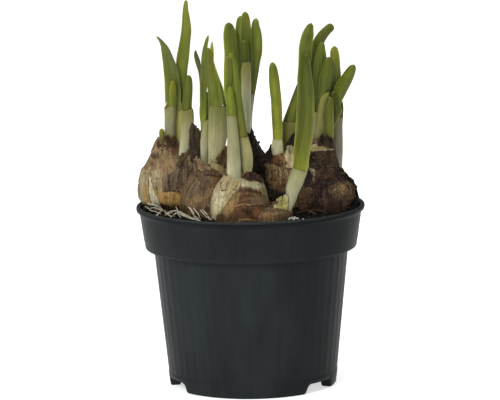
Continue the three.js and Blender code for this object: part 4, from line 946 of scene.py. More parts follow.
# Each row: name, slot, axis low and at the neck, how deep it is for its width, seed, crackle, colours,
# layers, and its height and radius from the foot to the neck.
BULBS = [
    ("bulb_left", "bulb_tan", (-42, 5), (-43.6, 4), 1, 3, 0.45, TAN, LEFT_LAYERS,
     [(82, 8), (89, 13.2), (94.8, 14.3), (98.4, 16.6), (103, 16.9), (108, 16.4), (112.5, 15.1),
      (117.2, 11.8), (123, 8.4), (128.3, 5.8), (130.5, 5)]),
    ("bulb_front", "bulb_orange", (-5.5, -39), (-4.5, -38), 1, 5, 0.5, RUSSET, FRONT_LAYERS,
     [(82, 8.5), (90, 13.4), (97, 15), (103.1, 14.8), (106.8, 13.9), (110.4, 12.6), (113.6, 10.8),
      (116.4, 8.4)]),
    ("bulb_front_offset", "bulb_orange", (10, -40.5), (10, -40.5), 1, 6, 0.45, RUSSET, OFFSET_LAYERS,
     [(83, 7), (90, 10), (95, 11.2), (97.2, 11.5), (98.7, 10.8), (99.8, 8.8), (101, 5.6), (102, 2.6)]),
    ("bulb_mid_left", "bulb_rosy", (-23, -17), (-19.8, -17.5), 1.18, 7, 0.55, ROSY, MID_LEFT_LAYERS,
     [(82, 7), (90, 12), (97, 13.4), (101.8, 12.9), (106, 12), (111.3, 10.8), (116.5, 9), (121, 7.4)]),
    ("bulb_right", "bulb_dark", (40, -4), (37.2, -3), 1, 11, 0.75, UMBER, RIGHT_LAYERS,
     [(82, 7.5), (90, 13.2), (97, 15.2), (101.4, 15.2), (104, 14.7), (107.4, 13.4), (109.4, 11.2),
      (111.6, 9.9), (113.2, 8.9), (115, 7.9), (118.5, 7.4), (123.8, 7), (128, 6.6), (131, 6.2)]),
    ("bulb_mid_right", "bulb_tan_brown", (18.5, 8), (16.6, 6.5), 1.1, 13, 0.8, TAWNY, MID_RIGHT_LAYERS,
     [(82, 6.5), (90, 10.4), (97, 11.8), (105, 12.1), (111, 11.6), (116.2, 9.9), (119.4, 8), (121.4, 6.2)]),
    ("bulb_back", "bulb_black", (-3.5, 28.5), (-2.2, 28), 1, 17, 1.4, BLACKISH, BACK_LAYERS,
     [(82, 8), (90, 13.6), (97, 15.6), (104, 15.6), (110, 14.2), (115.5, 12), (118, 10.8), (120.3, 9),
      (123.2, 7), (126, 5.2), (130, 4), (132, 3.2)]),
]
forms = {}
for name, slot, body, neck, depth, seed, crackle, colours, layers, outline in BULBS:
    place, coat = bulb_form(body, neck, depth, outline, seed, layers, colours, crackle)
    forms[name] = (body, neck, depth, outline)
    node_name = "bulb_front" if name == "bulb_front_offset" else name
    tunic = rough_tunic if crackle > ROUGH_CRACKLE else smooth_tunic
    skin(name + "_skin", *BULB_GRID, place, coat, tunic, slot, node_name)


def girth(name, z):
    """A bulb's axis, radius and depth at a height."""
    body, neck, depth, outline = forms[name]
    heights = [h for h, r in outline]
    k = min(max(bisect_left(heights, z), 1), len(heights) - 1)
    (low, low_r), (high, high_r) = outline[k - 1], outline[k]
    radius = low_r + (high_r - low_r) * min(max((z - low) / (high - low), 0), 1)
    lean = soften(SHOULDER_Z, outline[-1][0], z)
    return body[0] + (neck[0] - body[0]) * lean, body[1] + (neck[1] - body[1]) * lean, radius, depth


def front_of(name, x, z, lift):
    """The y that stands a little in front of a bulb at a point seen from the front."""
    centre_x, centre_y, radius, depth = girth(name, z)
    return centre_y - depth * math.sqrt(max((radius + lift) ** 2 - (x - centre_x) ** 2, 0.2))


# Husks: loose shreds of old tunic, dry root and soil that cling to the rougher bulbs and break
# their outlines. Each row: bulb, how many, lowest and highest, from and to azimuth, size, colours.
HUSKS = [
    ("bulb_back", 380, 95, 130, -180, 180, 1.7, ((22, 19, 16), (84, 70, 54))),
    ("bulb_mid_right", 150, 95, 121, 60, 300, 1.2, ((30, 24, 20), (104, 84, 56))),
    ("bulb_mid_right", 110, 96, 121, -100, -45, 1.3, ((22, 18, 15), (60, 47, 34))),
    ("bulb_mid_right", 90, 99, 114, -45, 60, 0.8, ((84, 66, 44), (150, 126, 88))),
    ("bulb_right", 260, 94, 114, 40, 320, 1.3, ((28, 22, 18), (96, 76, 52))),
    ("bulb_right", 130, 97, 113, 66, 116, 2.0, ((26, 21, 17), (96, 74, 52))),
    ("bulb_right", 80, 95, 112, -60, 60, 0.9, ((56, 42, 34), (112, 88, 60))),
    ("bulb_right", 90, 114, 131, -180, 180, 0.8, ((44, 34, 29), (92, 72, 54))),
    ("bulb_mid_left", 130, 95, 120, -180, 180, 0.8, ((84, 66, 50), (146, 120, 90))),
    ("bulb_left", 60, 123, 130, -180, 180, 0.8, ((64, 48, 38), (124, 98, 72))),
    ("bulb_left", 120, 94, 108, 75, 250, 0.9, ((66, 52, 38), (134, 112, 80))),
    ("bulb_right", 34, 97.5, 112.5, 76, 104, 3.0, ((24, 19, 16), (78, 60, 44))),
]
bulb_slots = {name: slot for name, slot, *_ in BULBS}
for row, (name, count, low, high, start, end, size, (dark, pale)) in enumerate(HUSKS):
    shreds = []
    for _ in range(count):
        z, angle = chance.uniform(low, high), math.radians(chance.uniform(start, end))
        centre_x, centre_y, radius, depth = girth(name, z)
        steep = (girth(name, z + 1)[2] - girth(name, z - 1)[2]) / 2
        out = Vector((math.sin(angle), -math.cos(angle) / depth, -steep)).normalized()
        foot = Vector((centre_x + radius * math.sin(angle), centre_y - radius * depth * math.cos(angle), z))
        spot = foot + out * chance.uniform(0, 0.3) * size
        leant = out + Vector([chance.uniform(-1, 1) for _ in range(3)]) * chance.choice((0.2, 0.4, 1.3))
        half = size * chance.uniform(0.35, 1)
        sizes = (half * chance.uniform(0.8, 1.6), half * chance.uniform(0.4, 0.8), 0.12 * size)
        colour = mixed(tone(*dark), tone(*pale), chance.uniform(0, 1) ** 2)
        shreds.append((spot, leant, sizes, colour))
    scatter(f"husks_{row}", shreds, loose_husk, bulb_slots[name])


# Torn tunics that stand off the bulbs: thin brittle brown sheets with ragged edges, split along
# their fibres, some still hanging from the necks.
SHEET_CELL = 0.33
dry_skin = tunic_finish("dry_skin", 0.7, 0.3, 0.35)


def shell(name, outline, stands_at, thick, colours, creases, seed, slot, *nodes):
    """A thin ragged sheet cut to an outline in x and z; stands_at(x, z) gives its y."""
    xs, zs = [x for x, z in outline], [z for x, z in outline]
    wide, high = max(xs) - min(xs) + 2, max(zs) - min(zs) + 2
    base, patch, edge = (tone(*c) for c in colours)
    mesh = bmesh.new()
    mesh.loops.layers.uv.new("UVMap")
    paint = mesh.verts.layers.float_color.new("coat")
    bmesh.ops.create_grid(mesh, x_segments=int(wide / SHEET_CELL), y_segments=int(high / SHEET_CELL),
                          size=0.5, calc_uvs=True)
    outside = []
    for vert in mesh.verts:
        x, z = min(xs) - 1 + (vert.co.x + 0.5) * wide, min(zs) - 1 + (vert.co.y + 0.5) * high
        jx = wavy(x, x, z, (0.5, 0.8, 0.8, seed), (0.3, 2, 2, seed + 5))
        jz = wavy(z, x, z, (0.5, 0.8, 0.8, seed + 9), (0.3, 2, 2, seed + 12))
        far, inside = reach(outline, jx, jz, True)
        if not inside:
            outside.append(vert)
        cut = min([reach(line, jx, jz, False)[0] for line in creases] or [9])
        blot = wavy(0, x, z, (1, 0.7, 0.14, seed), (0.5, 2.4, 0.3, seed), (0.3, 1.6, 1.6, seed))
        colour = mixed(mixed(base, patch, soften(-0.2, 0.5, blot)), edge, 0.8 * math.exp(-(far / 0.4) ** 2))
        colour = mixed(colour, PEAT_DARK, 0.75 * math.exp(-(cut / 0.35) ** 2))
        streak = wavy(1, x, z, (0.3, 2.6, 0.25, seed))
        vert[paint] = (*(c * streak for c in colour), 1)
        ripple = wavy(0, x, z, (0.35, 0.5, 0.25, seed + 3), (0.2, 1.7, 0.4, seed))
        ripple += 0.3 * math.exp(-(cut / 0.5) ** 2)
        vert.co = Vector((x, stands_at(x, z) + ripple, z)) * MM
    bmesh.ops.delete(mesh, geom=outside, context="VERTS")
    piece = put(name, mesh, dry_skin, slot, *nodes)
    wall = piece.modifiers.new("wall", "SOLIDIFY")
    wall.thickness = thick * MM
    wall.offset = 0


FLAP = [
    (-31.1, 120.4), (-29.6, 118.3), (-30.2, 113.8), (-31.3, 111.3), (-32.4, 108.3), (-33.5, 105.3),
    (-34.5, 103.3), (-36.1, 102.8), (-37.6, 104.3), (-41.8, 105.2), (-45.5, 104.9), (-45.7, 108),
    (-45.3, 112.1), (-43.2, 113.1), (-40.6, 114.8), (-38, 116.5), (-35.8, 120.6), (-33.7, 123.6),
    (-31.6, 126.6), (-29.8, 125.5), (-30.1, 122.4),
]
# The top end of the flap, behind the sheaths: the same torn tunic, in darker colours that are painted shade
# over the tunic's own brown.
SHADED_FLAP_TOP = [
    (-30.4, 141.5), (-28.3, 138.6), (-27, 137.3), (-25.7, 135.9), (-24.9, 134.6), (-24.6, 130.2),
    (-24.4, 125.1), (-24.4, 117), (-28, 114), (-31.2, 115.3), (-32.7, 117.4), (-33, 121.5),
    (-32.4, 124.5), (-31.8, 128.5), (-31.6, 133.1), (-31.2, 136.7),
]
FLAP_FOLD = [
    (-39, 117.4), (-37.9, 120.2), (-36.8, 123.3), (-35.2, 124.5), (-33.7, 124.3), (-31.8, 126.7),
    (-30.8, 125.6), (-33.2, 122.2), (-35.3, 118.1), (-37.4, 116.1),
]
FLAP_SPLITS = [
    [(-41.8, 105.4), (-42.4, 110.1), (-41.1, 114)],
    [(-37.6, 104.8), (-37.8, 109.9), (-36.4, 114.5), (-34.8, 118)],
    [(-34.5, 104.3), (-33.9, 108.3), (-32.3, 111.8), (-30.7, 114.8)],
]


def flap_stands(x, z):
    """The flap's y: it leans out from the left bulb, curled across."""
    return min(front_of("bulb_left", x, z, 0.7), -12.2 + 0.24 * (z - 106) + 0.02 * (x + 36) ** 2)


shell("tunic_flap", FLAP, flap_stands, 0.5, ((118, 100, 78), (92, 75, 58), (142, 122, 94)), FLAP_SPLITS,
      3, "dry_tunic", "tunic_flap_left")
# Painted shade: the flap's top end in darker colours than the rest of the flap.
shell("flap_top_in_shade", SHADED_FLAP_TOP, flap_stands, 0.5, ((84, 70, 53), (54, 45, 35), (110, 92, 69)),
      [[(-28.6, 136), (-28.4, 126)], [(-31, 122), (-29, 116)]], 4, "dry_tunic")
shell("flap_fold", FLAP_FOLD, lambda x, z: flap_stands(x, z) - 0.8, 0.5,
      ((96, 80, 54), (72, 58, 40), (124, 106, 78)), [], 12, "dry_tunic")
shell("dark_flake",
      [(-3.8, 116.6), (-3.2, 118.7), (-2, 119.9), (0.1, 120), (2.6, 119.2), (4.7, 117.3), (6.7, 115),
       (7.7, 112.9), (5.1, 114.1), (1, 115.2), (-1.5, 115.6)],
      lambda x, z: front_of("bulb_front", x, min(z, 115.5), 0.8), 0.45,
      ((70, 48, 36), (42, 30, 24), (96, 70, 50)), [[(1, 119), (3, 115.4)]], 13, "bulb_orange")
shell("torn_sleeve",
      [(18.4, 107.6), (16.4, 107), (14.3, 105.9), (12.8, 104.4), (13.9, 102.9), (12.4, 101.9),
       (11.7, 100.6), (15.6, 99.6), (18.9, 99.4), (19.7, 104)],
      lambda x, z: -45.6 + 0.9 * noise.noise((x * 0.6, z * 0.6, 31)), 0.9,
      ((176, 169, 104), (150, 139, 82), (200, 193, 144)),
      [[(16.5, 107.6), (16.2, 101)], [(14.4, 105.6), (13.4, 101.8)]], 14, "sheath")
shell("torn_collar_mid_left",
      [(-29.9, 118.9), (-29, 122.6), (-27.4, 125.2), (-26.7, 123.1), (-25.9, 124.9), (-25.2, 122),
       (-23.9, 123.3), (-23.4, 120.9), (-22.1, 122.2), (-21.1, 119.8), (-19.5, 119.3), (-20.6, 117.7),
       (-23.2, 118.5), (-24.8, 116.7), (-26.3, 118.3), (-28.4, 116.3)],
      lambda x, z: front_of("bulb_mid_left", x, min(z, 119), 0.7), 0.4,
      ((132, 107, 76), (92, 70, 50), (168, 146, 108)), [[(-28, 122.4), (-27.4, 118.6)]], 17, "dry_tunic")
shell("tunic_tongue",
      [(-12.4, 130.6), (-11.2, 130), (-10.8, 126), (-11, 117), (-13.2, 118.8), (-14.6, 120.6),
       (-16.4, 121.8), (-18, 123.2), (-15.6, 126.2)],
      lambda x, z: -25.2 + 0.05 * (z - 119), 0.5, ((94, 71, 45), (64, 46, 30), (120, 98, 66)),
      [[(-13.4, 128), (-14, 122)]], 5, "dry_tunic", "tunic_tongue_mid")
shell("cream_scale",
      [(-20.6, 124), (-18.6, 122.4), (-16, 120.8), (-13, 119), (-10.8, 117.6), (-10.6, 112), (-13.4, 114),
       (-17, 117.2), (-20.4, 119)],
      lambda x, z: min(front_of("bulb_mid_left", x, z, 0.5), -24.2), 0.6,
      ((158, 144, 106), (140, 122, 82), (112, 92, 58)), [], 6, "sheath")
shell("neck_rags_right",
      [(35.4, 126.2), (35.5, 130.1), (36.6, 132.2), (37.4, 133.6), (39.4, 132.7), (41, 133.3),
       (42, 131.6), (43.6, 131.3), (44.2, 128.9), (44, 125.8), (44.6, 124.5), (42, 125.4), (40, 126.6),
       (38, 127.2)],
      lambda x, z: min(front_of("bulb_right", x, z, 0.9), -10), 0.4,
      ((70, 57, 43), (38, 33, 28), (128, 106, 78)),
      [[(38.2, 133), (38.6, 128.4)], [(42.4, 131), (42.2, 126.6)], [(36.4, 129), (39.6, 130.4)]], 7,
      "bulb_dark")
shell("neck_rags_left",
      [(-48.6, 126.2), (-48.2, 129.2), (-47.4, 131), (-45.8, 129.8), (-44.6, 132.4), (-42.6, 133.4),
       (-41, 131.8), (-39.4, 133), (-38, 130), (-37.6, 125.4), (-40.5, 126.6), (-43, 125.9), (-45.5, 127),
       (-48.4, 125.8)],
      lambda x, z: front_of("bulb_left", x, z, 0.7), 0.4, ((86, 64, 44), (50, 35, 25), (128, 104, 76)),
      [[(-44, 131), (-43.8, 127.4)], [(-40.8, 130), (-40.6, 127)], [(-47, 129), (-46.6, 127)]], 8,
      "bulb_tan")
shell("neck_rags_mid_right",
      [(18.1, 124.9), (19.7, 128.6), (21.9, 131.2), (23.5, 132.8), (25, 133.3), (24.5, 129.6),
       (24.4, 126.5), (22.6, 124.4), (19.7, 123.3), (17.2, 122)],
      lambda x, z: 1.6 + 0.1 * (z - 122), 0.5, ((52, 43, 32), (28, 23, 18), (98, 84, 56)),
      [[(23, 131), (21.4, 126)], [(24, 128), (22.6, 125)]], 9, "bulb_tan_brown")
shell("neck_rags_shoulder",
      [(7.8, 119.5), (8.6, 122.7), (10.0, 124.8), (11.0, 128.2), (11.6, 126.9), (11.8, 123.7),
       (12.3, 120.0), (10.7, 117.3), (8.6, 117.4)],
      lambda x, z: front_of("bulb_mid_right", x, min(z, 119), 0.7), 0.5,
      ((48, 38, 29), (26, 21, 18), (86, 68, 48)), [], 15, "bulb_tan_brown")
shell("torn_cream_mid_right",
      [(17.4, 121), (18.6, 123), (20, 126.4), (22.4, 126), (25, 123.6), (26, 118), (25.6, 114),
       (20, 114.3), (17.6, 115.4), (19.4, 117), (18.3, 118.6)],
      lambda x, z: front_of("bulb_mid_right", x, z, 0.6) - 0.2, 0.5,
      ((206, 192, 146), (172, 154, 110), (120, 94, 62)), [[(20.6, 124.6), (21.4, 118)]], 10,
      "bulb_tan_brown")
shell("side_shreds",
      [(46.1, 114.4), (47.7, 114.7), (48.4, 111.8), (49.4, 111.4), (50, 110.6), (51.6, 111.4),
       (52.1, 109), (53.6, 109.8), (53.3, 107.4), (54.9, 107.1), (54.1, 105.3), (55.7, 104.5),
       (54.6, 102.9), (56.2, 101.5), (54.8, 99.7), (55.9, 97.8), (53.2, 95.7), (50, 94.2), (46.9, 97.4),
       (48.6, 102.7), (46, 109.1)],
      lambda x, z: -4.5 + 1.2 * noise.noise((x * 0.3, z * 0.3, 21)), 0.8,
      ((46, 37, 29), (26, 22, 19), (78, 62, 46)), [], 16, "bulb_dark")
shell("neck_rags_back",
      [(-4, 134), (-1.6, 135), (-0.6, 133.4), (0.4, 134), (0.8, 131.4), (1.8, 130), (1.4, 127.6),
       (3, 126), (2.6, 124.6), (4.4, 123.6), (4, 121.6), (5.6, 120.8), (5.2, 119.2), (7.6, 118.2),
       (7.6, 114), (9.6, 110), (0, 108), (-6, 118)],
      lambda x, z: front_of("bulb_back", x, z, 0.8), 0.6, ((38, 32, 26), (22, 19, 17), (64, 54, 42)),
      [[(0, 130), (1, 120)], [(3.4, 122), (3.8, 114)]], 11, "bulb_black")

# Sheaths: each shoot pushes up through a pale fleshy sleeve, white at its foot and green at its mouth,
# where it has split into a slanting opening.
SHEATH_GRID = (48, 64)
SQUARENESS = 2.3
SHEATH_FOOT = 0.7
OUTSIDE_SHARE = 0.86
SHEATH_EASE = 0.13
MOUTH_HOLLOW = 4
MOUTH_BROWN = tone(120, 104, 58)
INSIDE_GREEN_IN_SHADE = tone(60, 62, 26)
# Each row: name, depth, how much higher the mouth is on the right, colours at the foot, middle and
# mouth, and its path as x, y, z and width.
SHEATHS = [
    ("left_front", 6, 0.6, ((149, 145, 96), (131, 128, 93), (126, 126, 83)),
     [(-43.4, 3, 121, 4.6), (-41.8, 3, 131.6, 5.3), (-41.5, 3, 137.5, 5.6), (-41.2, 3, 142.7, 6),
      (-41.2, 3, 147.5, 6)]),
    ("left_rear", 4.2, 1.2, ((227, 224, 161), (193, 187, 111), (185, 179, 97)),
     [(-37.6, 7.4, 115, 4), (-37.4, 7.4, 128, 4.6), (-37, 7.4, 140, 4.8), (-36.8, 7.4, 149, 4.8)]),
    ("left_inner", 4.6, 0, ((199, 197, 182), (156, 152, 113), (116, 115, 65)),
     [(-34.9, -3, 113, 5), (-33.8, -2.9, 123, 6), (-32.9, -2.4, 132.3, 6.2), (-32.4, -2, 137.5, 6.8),
      (-32.2, -1.7, 142.7, 6.9), (-32.3, -1.6, 146.4, 6.3)]),
    ("mid_left_slim", 4.4, 2.2, ((171, 160, 117), (151, 147, 116), (132, 132, 81)),
     [(-23.9, -18.4, 110, 3.6), (-23.6, -18.2, 121.8, 3.4), (-23.4, -18.1, 127, 3.7),
      (-23.2, -17.9, 132.3, 3.8), (-22.6, -17.7, 138.5, 3.1), (-22.1, -17.6, 142.7, 3.4)]),
    ("mid_left_wide", 6.4, -1.6, ((196, 185, 148), (147, 142, 102), (109, 111, 57)),
     [(-20, -20, 110, 3.6), (-19.6, -19.9, 119, 4.4), (-17.4, -19.8, 127, 8.2), (-16.3, -19.7, 135, 10.1),
      (-16.1, -19.6, 140.2, 9.9), (-16.1, -19.5, 145.4, 9.6), (-16.2, -19.4, 150.1, 9.4)]),
    ("front_left", 6, -0.5, ((214, 209, 176), (139, 136, 99), (127, 128, 90)),
     [(-7.6, -37.6, 107, 6), (-7.8, -37.5, 114.1, 6.7), (-8.1, -37.4, 119.3, 7.2),
      (-8.2, -37.3, 124.5, 6.9), (-8.3, -37.2, 129.6, 6.5), (-8.4, -37.1, 135.8, 5.8),
      (-8.7, -37, 142.6, 5.3), (-9, -36.9, 147.7, 4.7)]),
    ("front_right", 4.4, -0.6, ((213, 207, 144), (146, 143, 98), (138, 136, 88)),
     [(-1.3, -33.6, 105, 3.4), (-1.4, -33.6, 116, 4.4), (-1.4, -33.6, 121.2, 5.8),
      (-1.5, -33.6, 126.4, 6), (-2.2, -33.6, 131.6, 5.4), (-3.1, -33.6, 135.8, 4.8)]),
    ("front_offset", 7.4, 1, ((146, 139, 106), (150, 147, 116), (137, 135, 91)),
     [(18.4, -42, 93.5, 3), (19.4, -41.8, 99.3, 3.8), (20.9, -41.2, 103.8, 5), (21.8, -40, 108.8, 7.2),
      (23.8, -39, 113.8, 7.9), (25.8, -38.2, 118.8, 7.9)]),
    ("back_front", 5.8, 0.5, ((200, 198, 170), (175, 174, 138), (123, 123, 61)),
     [(-0.8, 25.6, 122, 3.2), (-0.9, 25.4, 134, 3.4), (-1, 25.3, 139, 3.3), (-1.3, 25.2, 144.3, 4.4),
      (-1.3, 25.2, 149.7, 4.8), (-1.2, 25.1, 157.7, 4.9), (-1.2, 25.1, 163, 4.9),
      (-1.2, 25.1, 167.3, 4.7)]),
    ("back_rear", 4.2, 0, ((199, 197, 168), (192, 191, 165), (150, 153, 112)),
     [(-0.3, 31, 120, 3), (-0.2, 31.4, 133, 3.4), (0.2, 31.8, 141, 3.6), (0.7, 32, 149.5, 4)]),
    ("mid_right_front", 5, 0, ((170, 158, 127), (233, 228, 190), (200, 198, 146)),
     [(14.1, 4, 108, 7.4), (14, 4, 117, 8), (14.4, 4, 123.1, 6.9), (14.7, 4, 125.8, 5.9),
      (14.8, 4, 129, 4.9)]),
    ("mid_right_rear", 4.6, 0, ((159, 145, 100), (117, 111, 58), (119, 120, 60)),
     [(20.4, 12.2, 108, 5), (20.8, 12.5, 120, 5.8), (20.7, 12.9, 127, 7.2), (20.9, 13.2, 132.3, 7.7),
      (21.2, 13.4, 136.5, 7.8)]),
    ("right_left", 5.6, 0, ((163, 160, 131), (138, 134, 92), (126, 126, 79)),
     [(35.8, 0.6, 118, 5), (35.6, 0.8, 130, 5.6), (35.7, 0.9, 143.5, 5.8)]),
    ("right_torn", 4.2, 2.4, ((146, 139, 119), (128, 127, 70), (139, 137, 66)),
     [(38.2, -4.2, 118, 5.6), (37.4, -4.2, 130.8, 5.4), (37.8, -4.2, 137.2, 5.2), (37.8, -4.2, 142.4, 4),
      (38.6, -4.2, 147.7, 4), (39.9, -4.2, 151.9, 4.5), (41.1, -4.2, 154.5, 2.7)]),
    ("right_outer", 4.4, 0, ((163, 158, 149), (116, 114, 96), (113, 112, 78)),
     [(46.8, -1, 104, 3), (46.2, -1, 115, 4.2), (46, -1, 126, 5.6), (45.9, -1, 141.6, 5.8)]),
]


def across_and_out(ahead, azimuth):
    """The directions across a shoot and outwards from it; outwards faces an azimuth, 0 for the front."""
    angle = math.radians(azimuth)
    facing = Vector((math.sin(angle), -math.cos(angle), 0))
    across = facing.cross(ahead).normalized()
    return across, ahead.cross(across).normalized()


def sheath_form(depth, slant, colours, path, seed):
    """The rules that place and colour one sheath: a rounded sleeve that thins to a torn rim."""
    _, at = follow(path)
    foot, middle, mouth = (tone(*c) for c in colours)
    notch = random.Random(seed).uniform(0, 1)

    def place(u, v):
        turn = 2 * math.pi * (u + 0.25)
        share = min(v / OUTSIDE_SHARE, 1)
        spot, ahead, width = at(share)
        across, outward = across_and_out(ahead, 0)
        cosine, sine = math.cos(turn), math.sin(turn)
        sideways = math.copysign(abs(cosine) ** (2 / SQUARENESS), cosine)
        deep = math.copysign(abs(sine) ** (2 / SQUARENESS), sine)
        half, out = width / 2 + SHEATH_EASE, depth / 2 * min(1, SHEATH_FOOT + share / 2)
        sunk = 0
        if v < 0.02:
            half, out = half * v / 0.02, out * v / 0.02
        if v > OUTSIDE_SHARE:
            sunk = (v - OUTSIDE_SHARE) / (1 - OUTSIDE_SHARE)
            keep = 1 - 0.3 * min(sunk / 0.25, 1) - 0.7 * max((sunk - 0.6) / 0.4, 0)
            half, out = half * keep, out * keep
            spot = spot - ahead * MOUTH_HOLLOW * max(sunk - 0.12, 0)
        fold = 0.07 * noise.noise(Vector((cosine * 1.6, sine * 1.6, share * 1.6 + seed)))
        spot = spot + across * sideways * half * (1 + fold) + outward * deep * out * (1 + fold)
        rise = soften(0.75, 1, share) * (1 - 0.5 * sunk)
        spot.z += slant / 2 * math.copysign(sideways, sideways * across.x) * rise
        torn = soften(0.12, 0, abs((u - notch + 0.5) % 1 - 0.5))
        spot.z += rise * (0.5 * noise.noise(Vector((cosine * 2, sine * 2, seed))) - 0.9 * torn)
        return spot

    def coat(point, u, v):
        share = min(v / OUTSIDE_SHARE, 1)
        colour = mixed(foot, middle, soften(0, 0.55, share))
        colour = mixed(colour, mouth, soften(0.5, 1, share))
        colour = mixed(colour, mixed(mouth, MOUTH_BROWN, 0.5), soften(0.8, OUTSIDE_SHARE, v) * 0.6)
        # Inside the mouth: the green of the shoot within, darkened as painted shade in the hollow.
        if v > 0.88:
            colour = mixed(colour, INSIDE_GREEN_IN_SHADE, soften(0.88, 0.95, v))
        return colour

    return place, coat


def growth_finish(name, veins, streak, roughness):
    """Living leaf or sheath skin: its coat colour with fine lines along it and a waxy, mottled gloss."""
    material, tree, shader = finish(name, roughness, 0.16)
    places = join(tree, "ShaderNodeTexCoord").outputs
    lines = grain(tree, places["UV"], (veins, 0.7, 1), 1, 2, 0.5)
    broad = grain(tree, places["UV"], (veins * 0.16, 0.6, 1), 1, 2)
    mottle = grain(tree, places["Object"], (1, 1, 0.35), 380, 3)
    colour = shaded(tree, coat_colour(tree), spread(tree, lines, 1 - streak, 1 + streak))
    colour = shaded(tree, colour, spread(tree, broad, 0.84, 1.16))
    colour = shaded(tree, colour, spread(tree, mottle, 0.88, 1.12))
    tree.links.new(colour, shader.inputs["Base Color"])
    tree.links.new(spread(tree, mottle, roughness - 0.08, roughness + 0.1), shader.inputs["Roughness"])
    bump = join(tree, "ShaderNodeBump", {"Height": lines, "Strength": 0.35, "Distance": 0.0002})
    tree.links.new(bump.outputs[0], shader.inputs["Normal"])
    return material


sheath_skin = growth_finish("sheath_skin", 60, 0.12, 0.42)
for seed, (name, depth, slant, colours, path) in enumerate(SHEATHS):
    place, coat = sheath_form(depth, slant, colours, path, seed)
    skin("sleeve_" + name, *SHEATH_GRID, place, coat, sheath_skin, "sheath", "sheath_" + name)

# Leaves: thick strap leaves, slightly channelled, with blunt rounded tips that have browned on some
# and a bloom that greys the green.
LEAF_GRID = (28, 90)
LEAF_THICKNESS = 1.9
EDGE = 0.35
LEAF_TINT = (0.8, 0.8, 0.6)
LEAF_CUP = 0.42
LEAF_CHANNEL = 0.1
LEAF_END = 0.015
BURNT = tone(132, 126, 56)
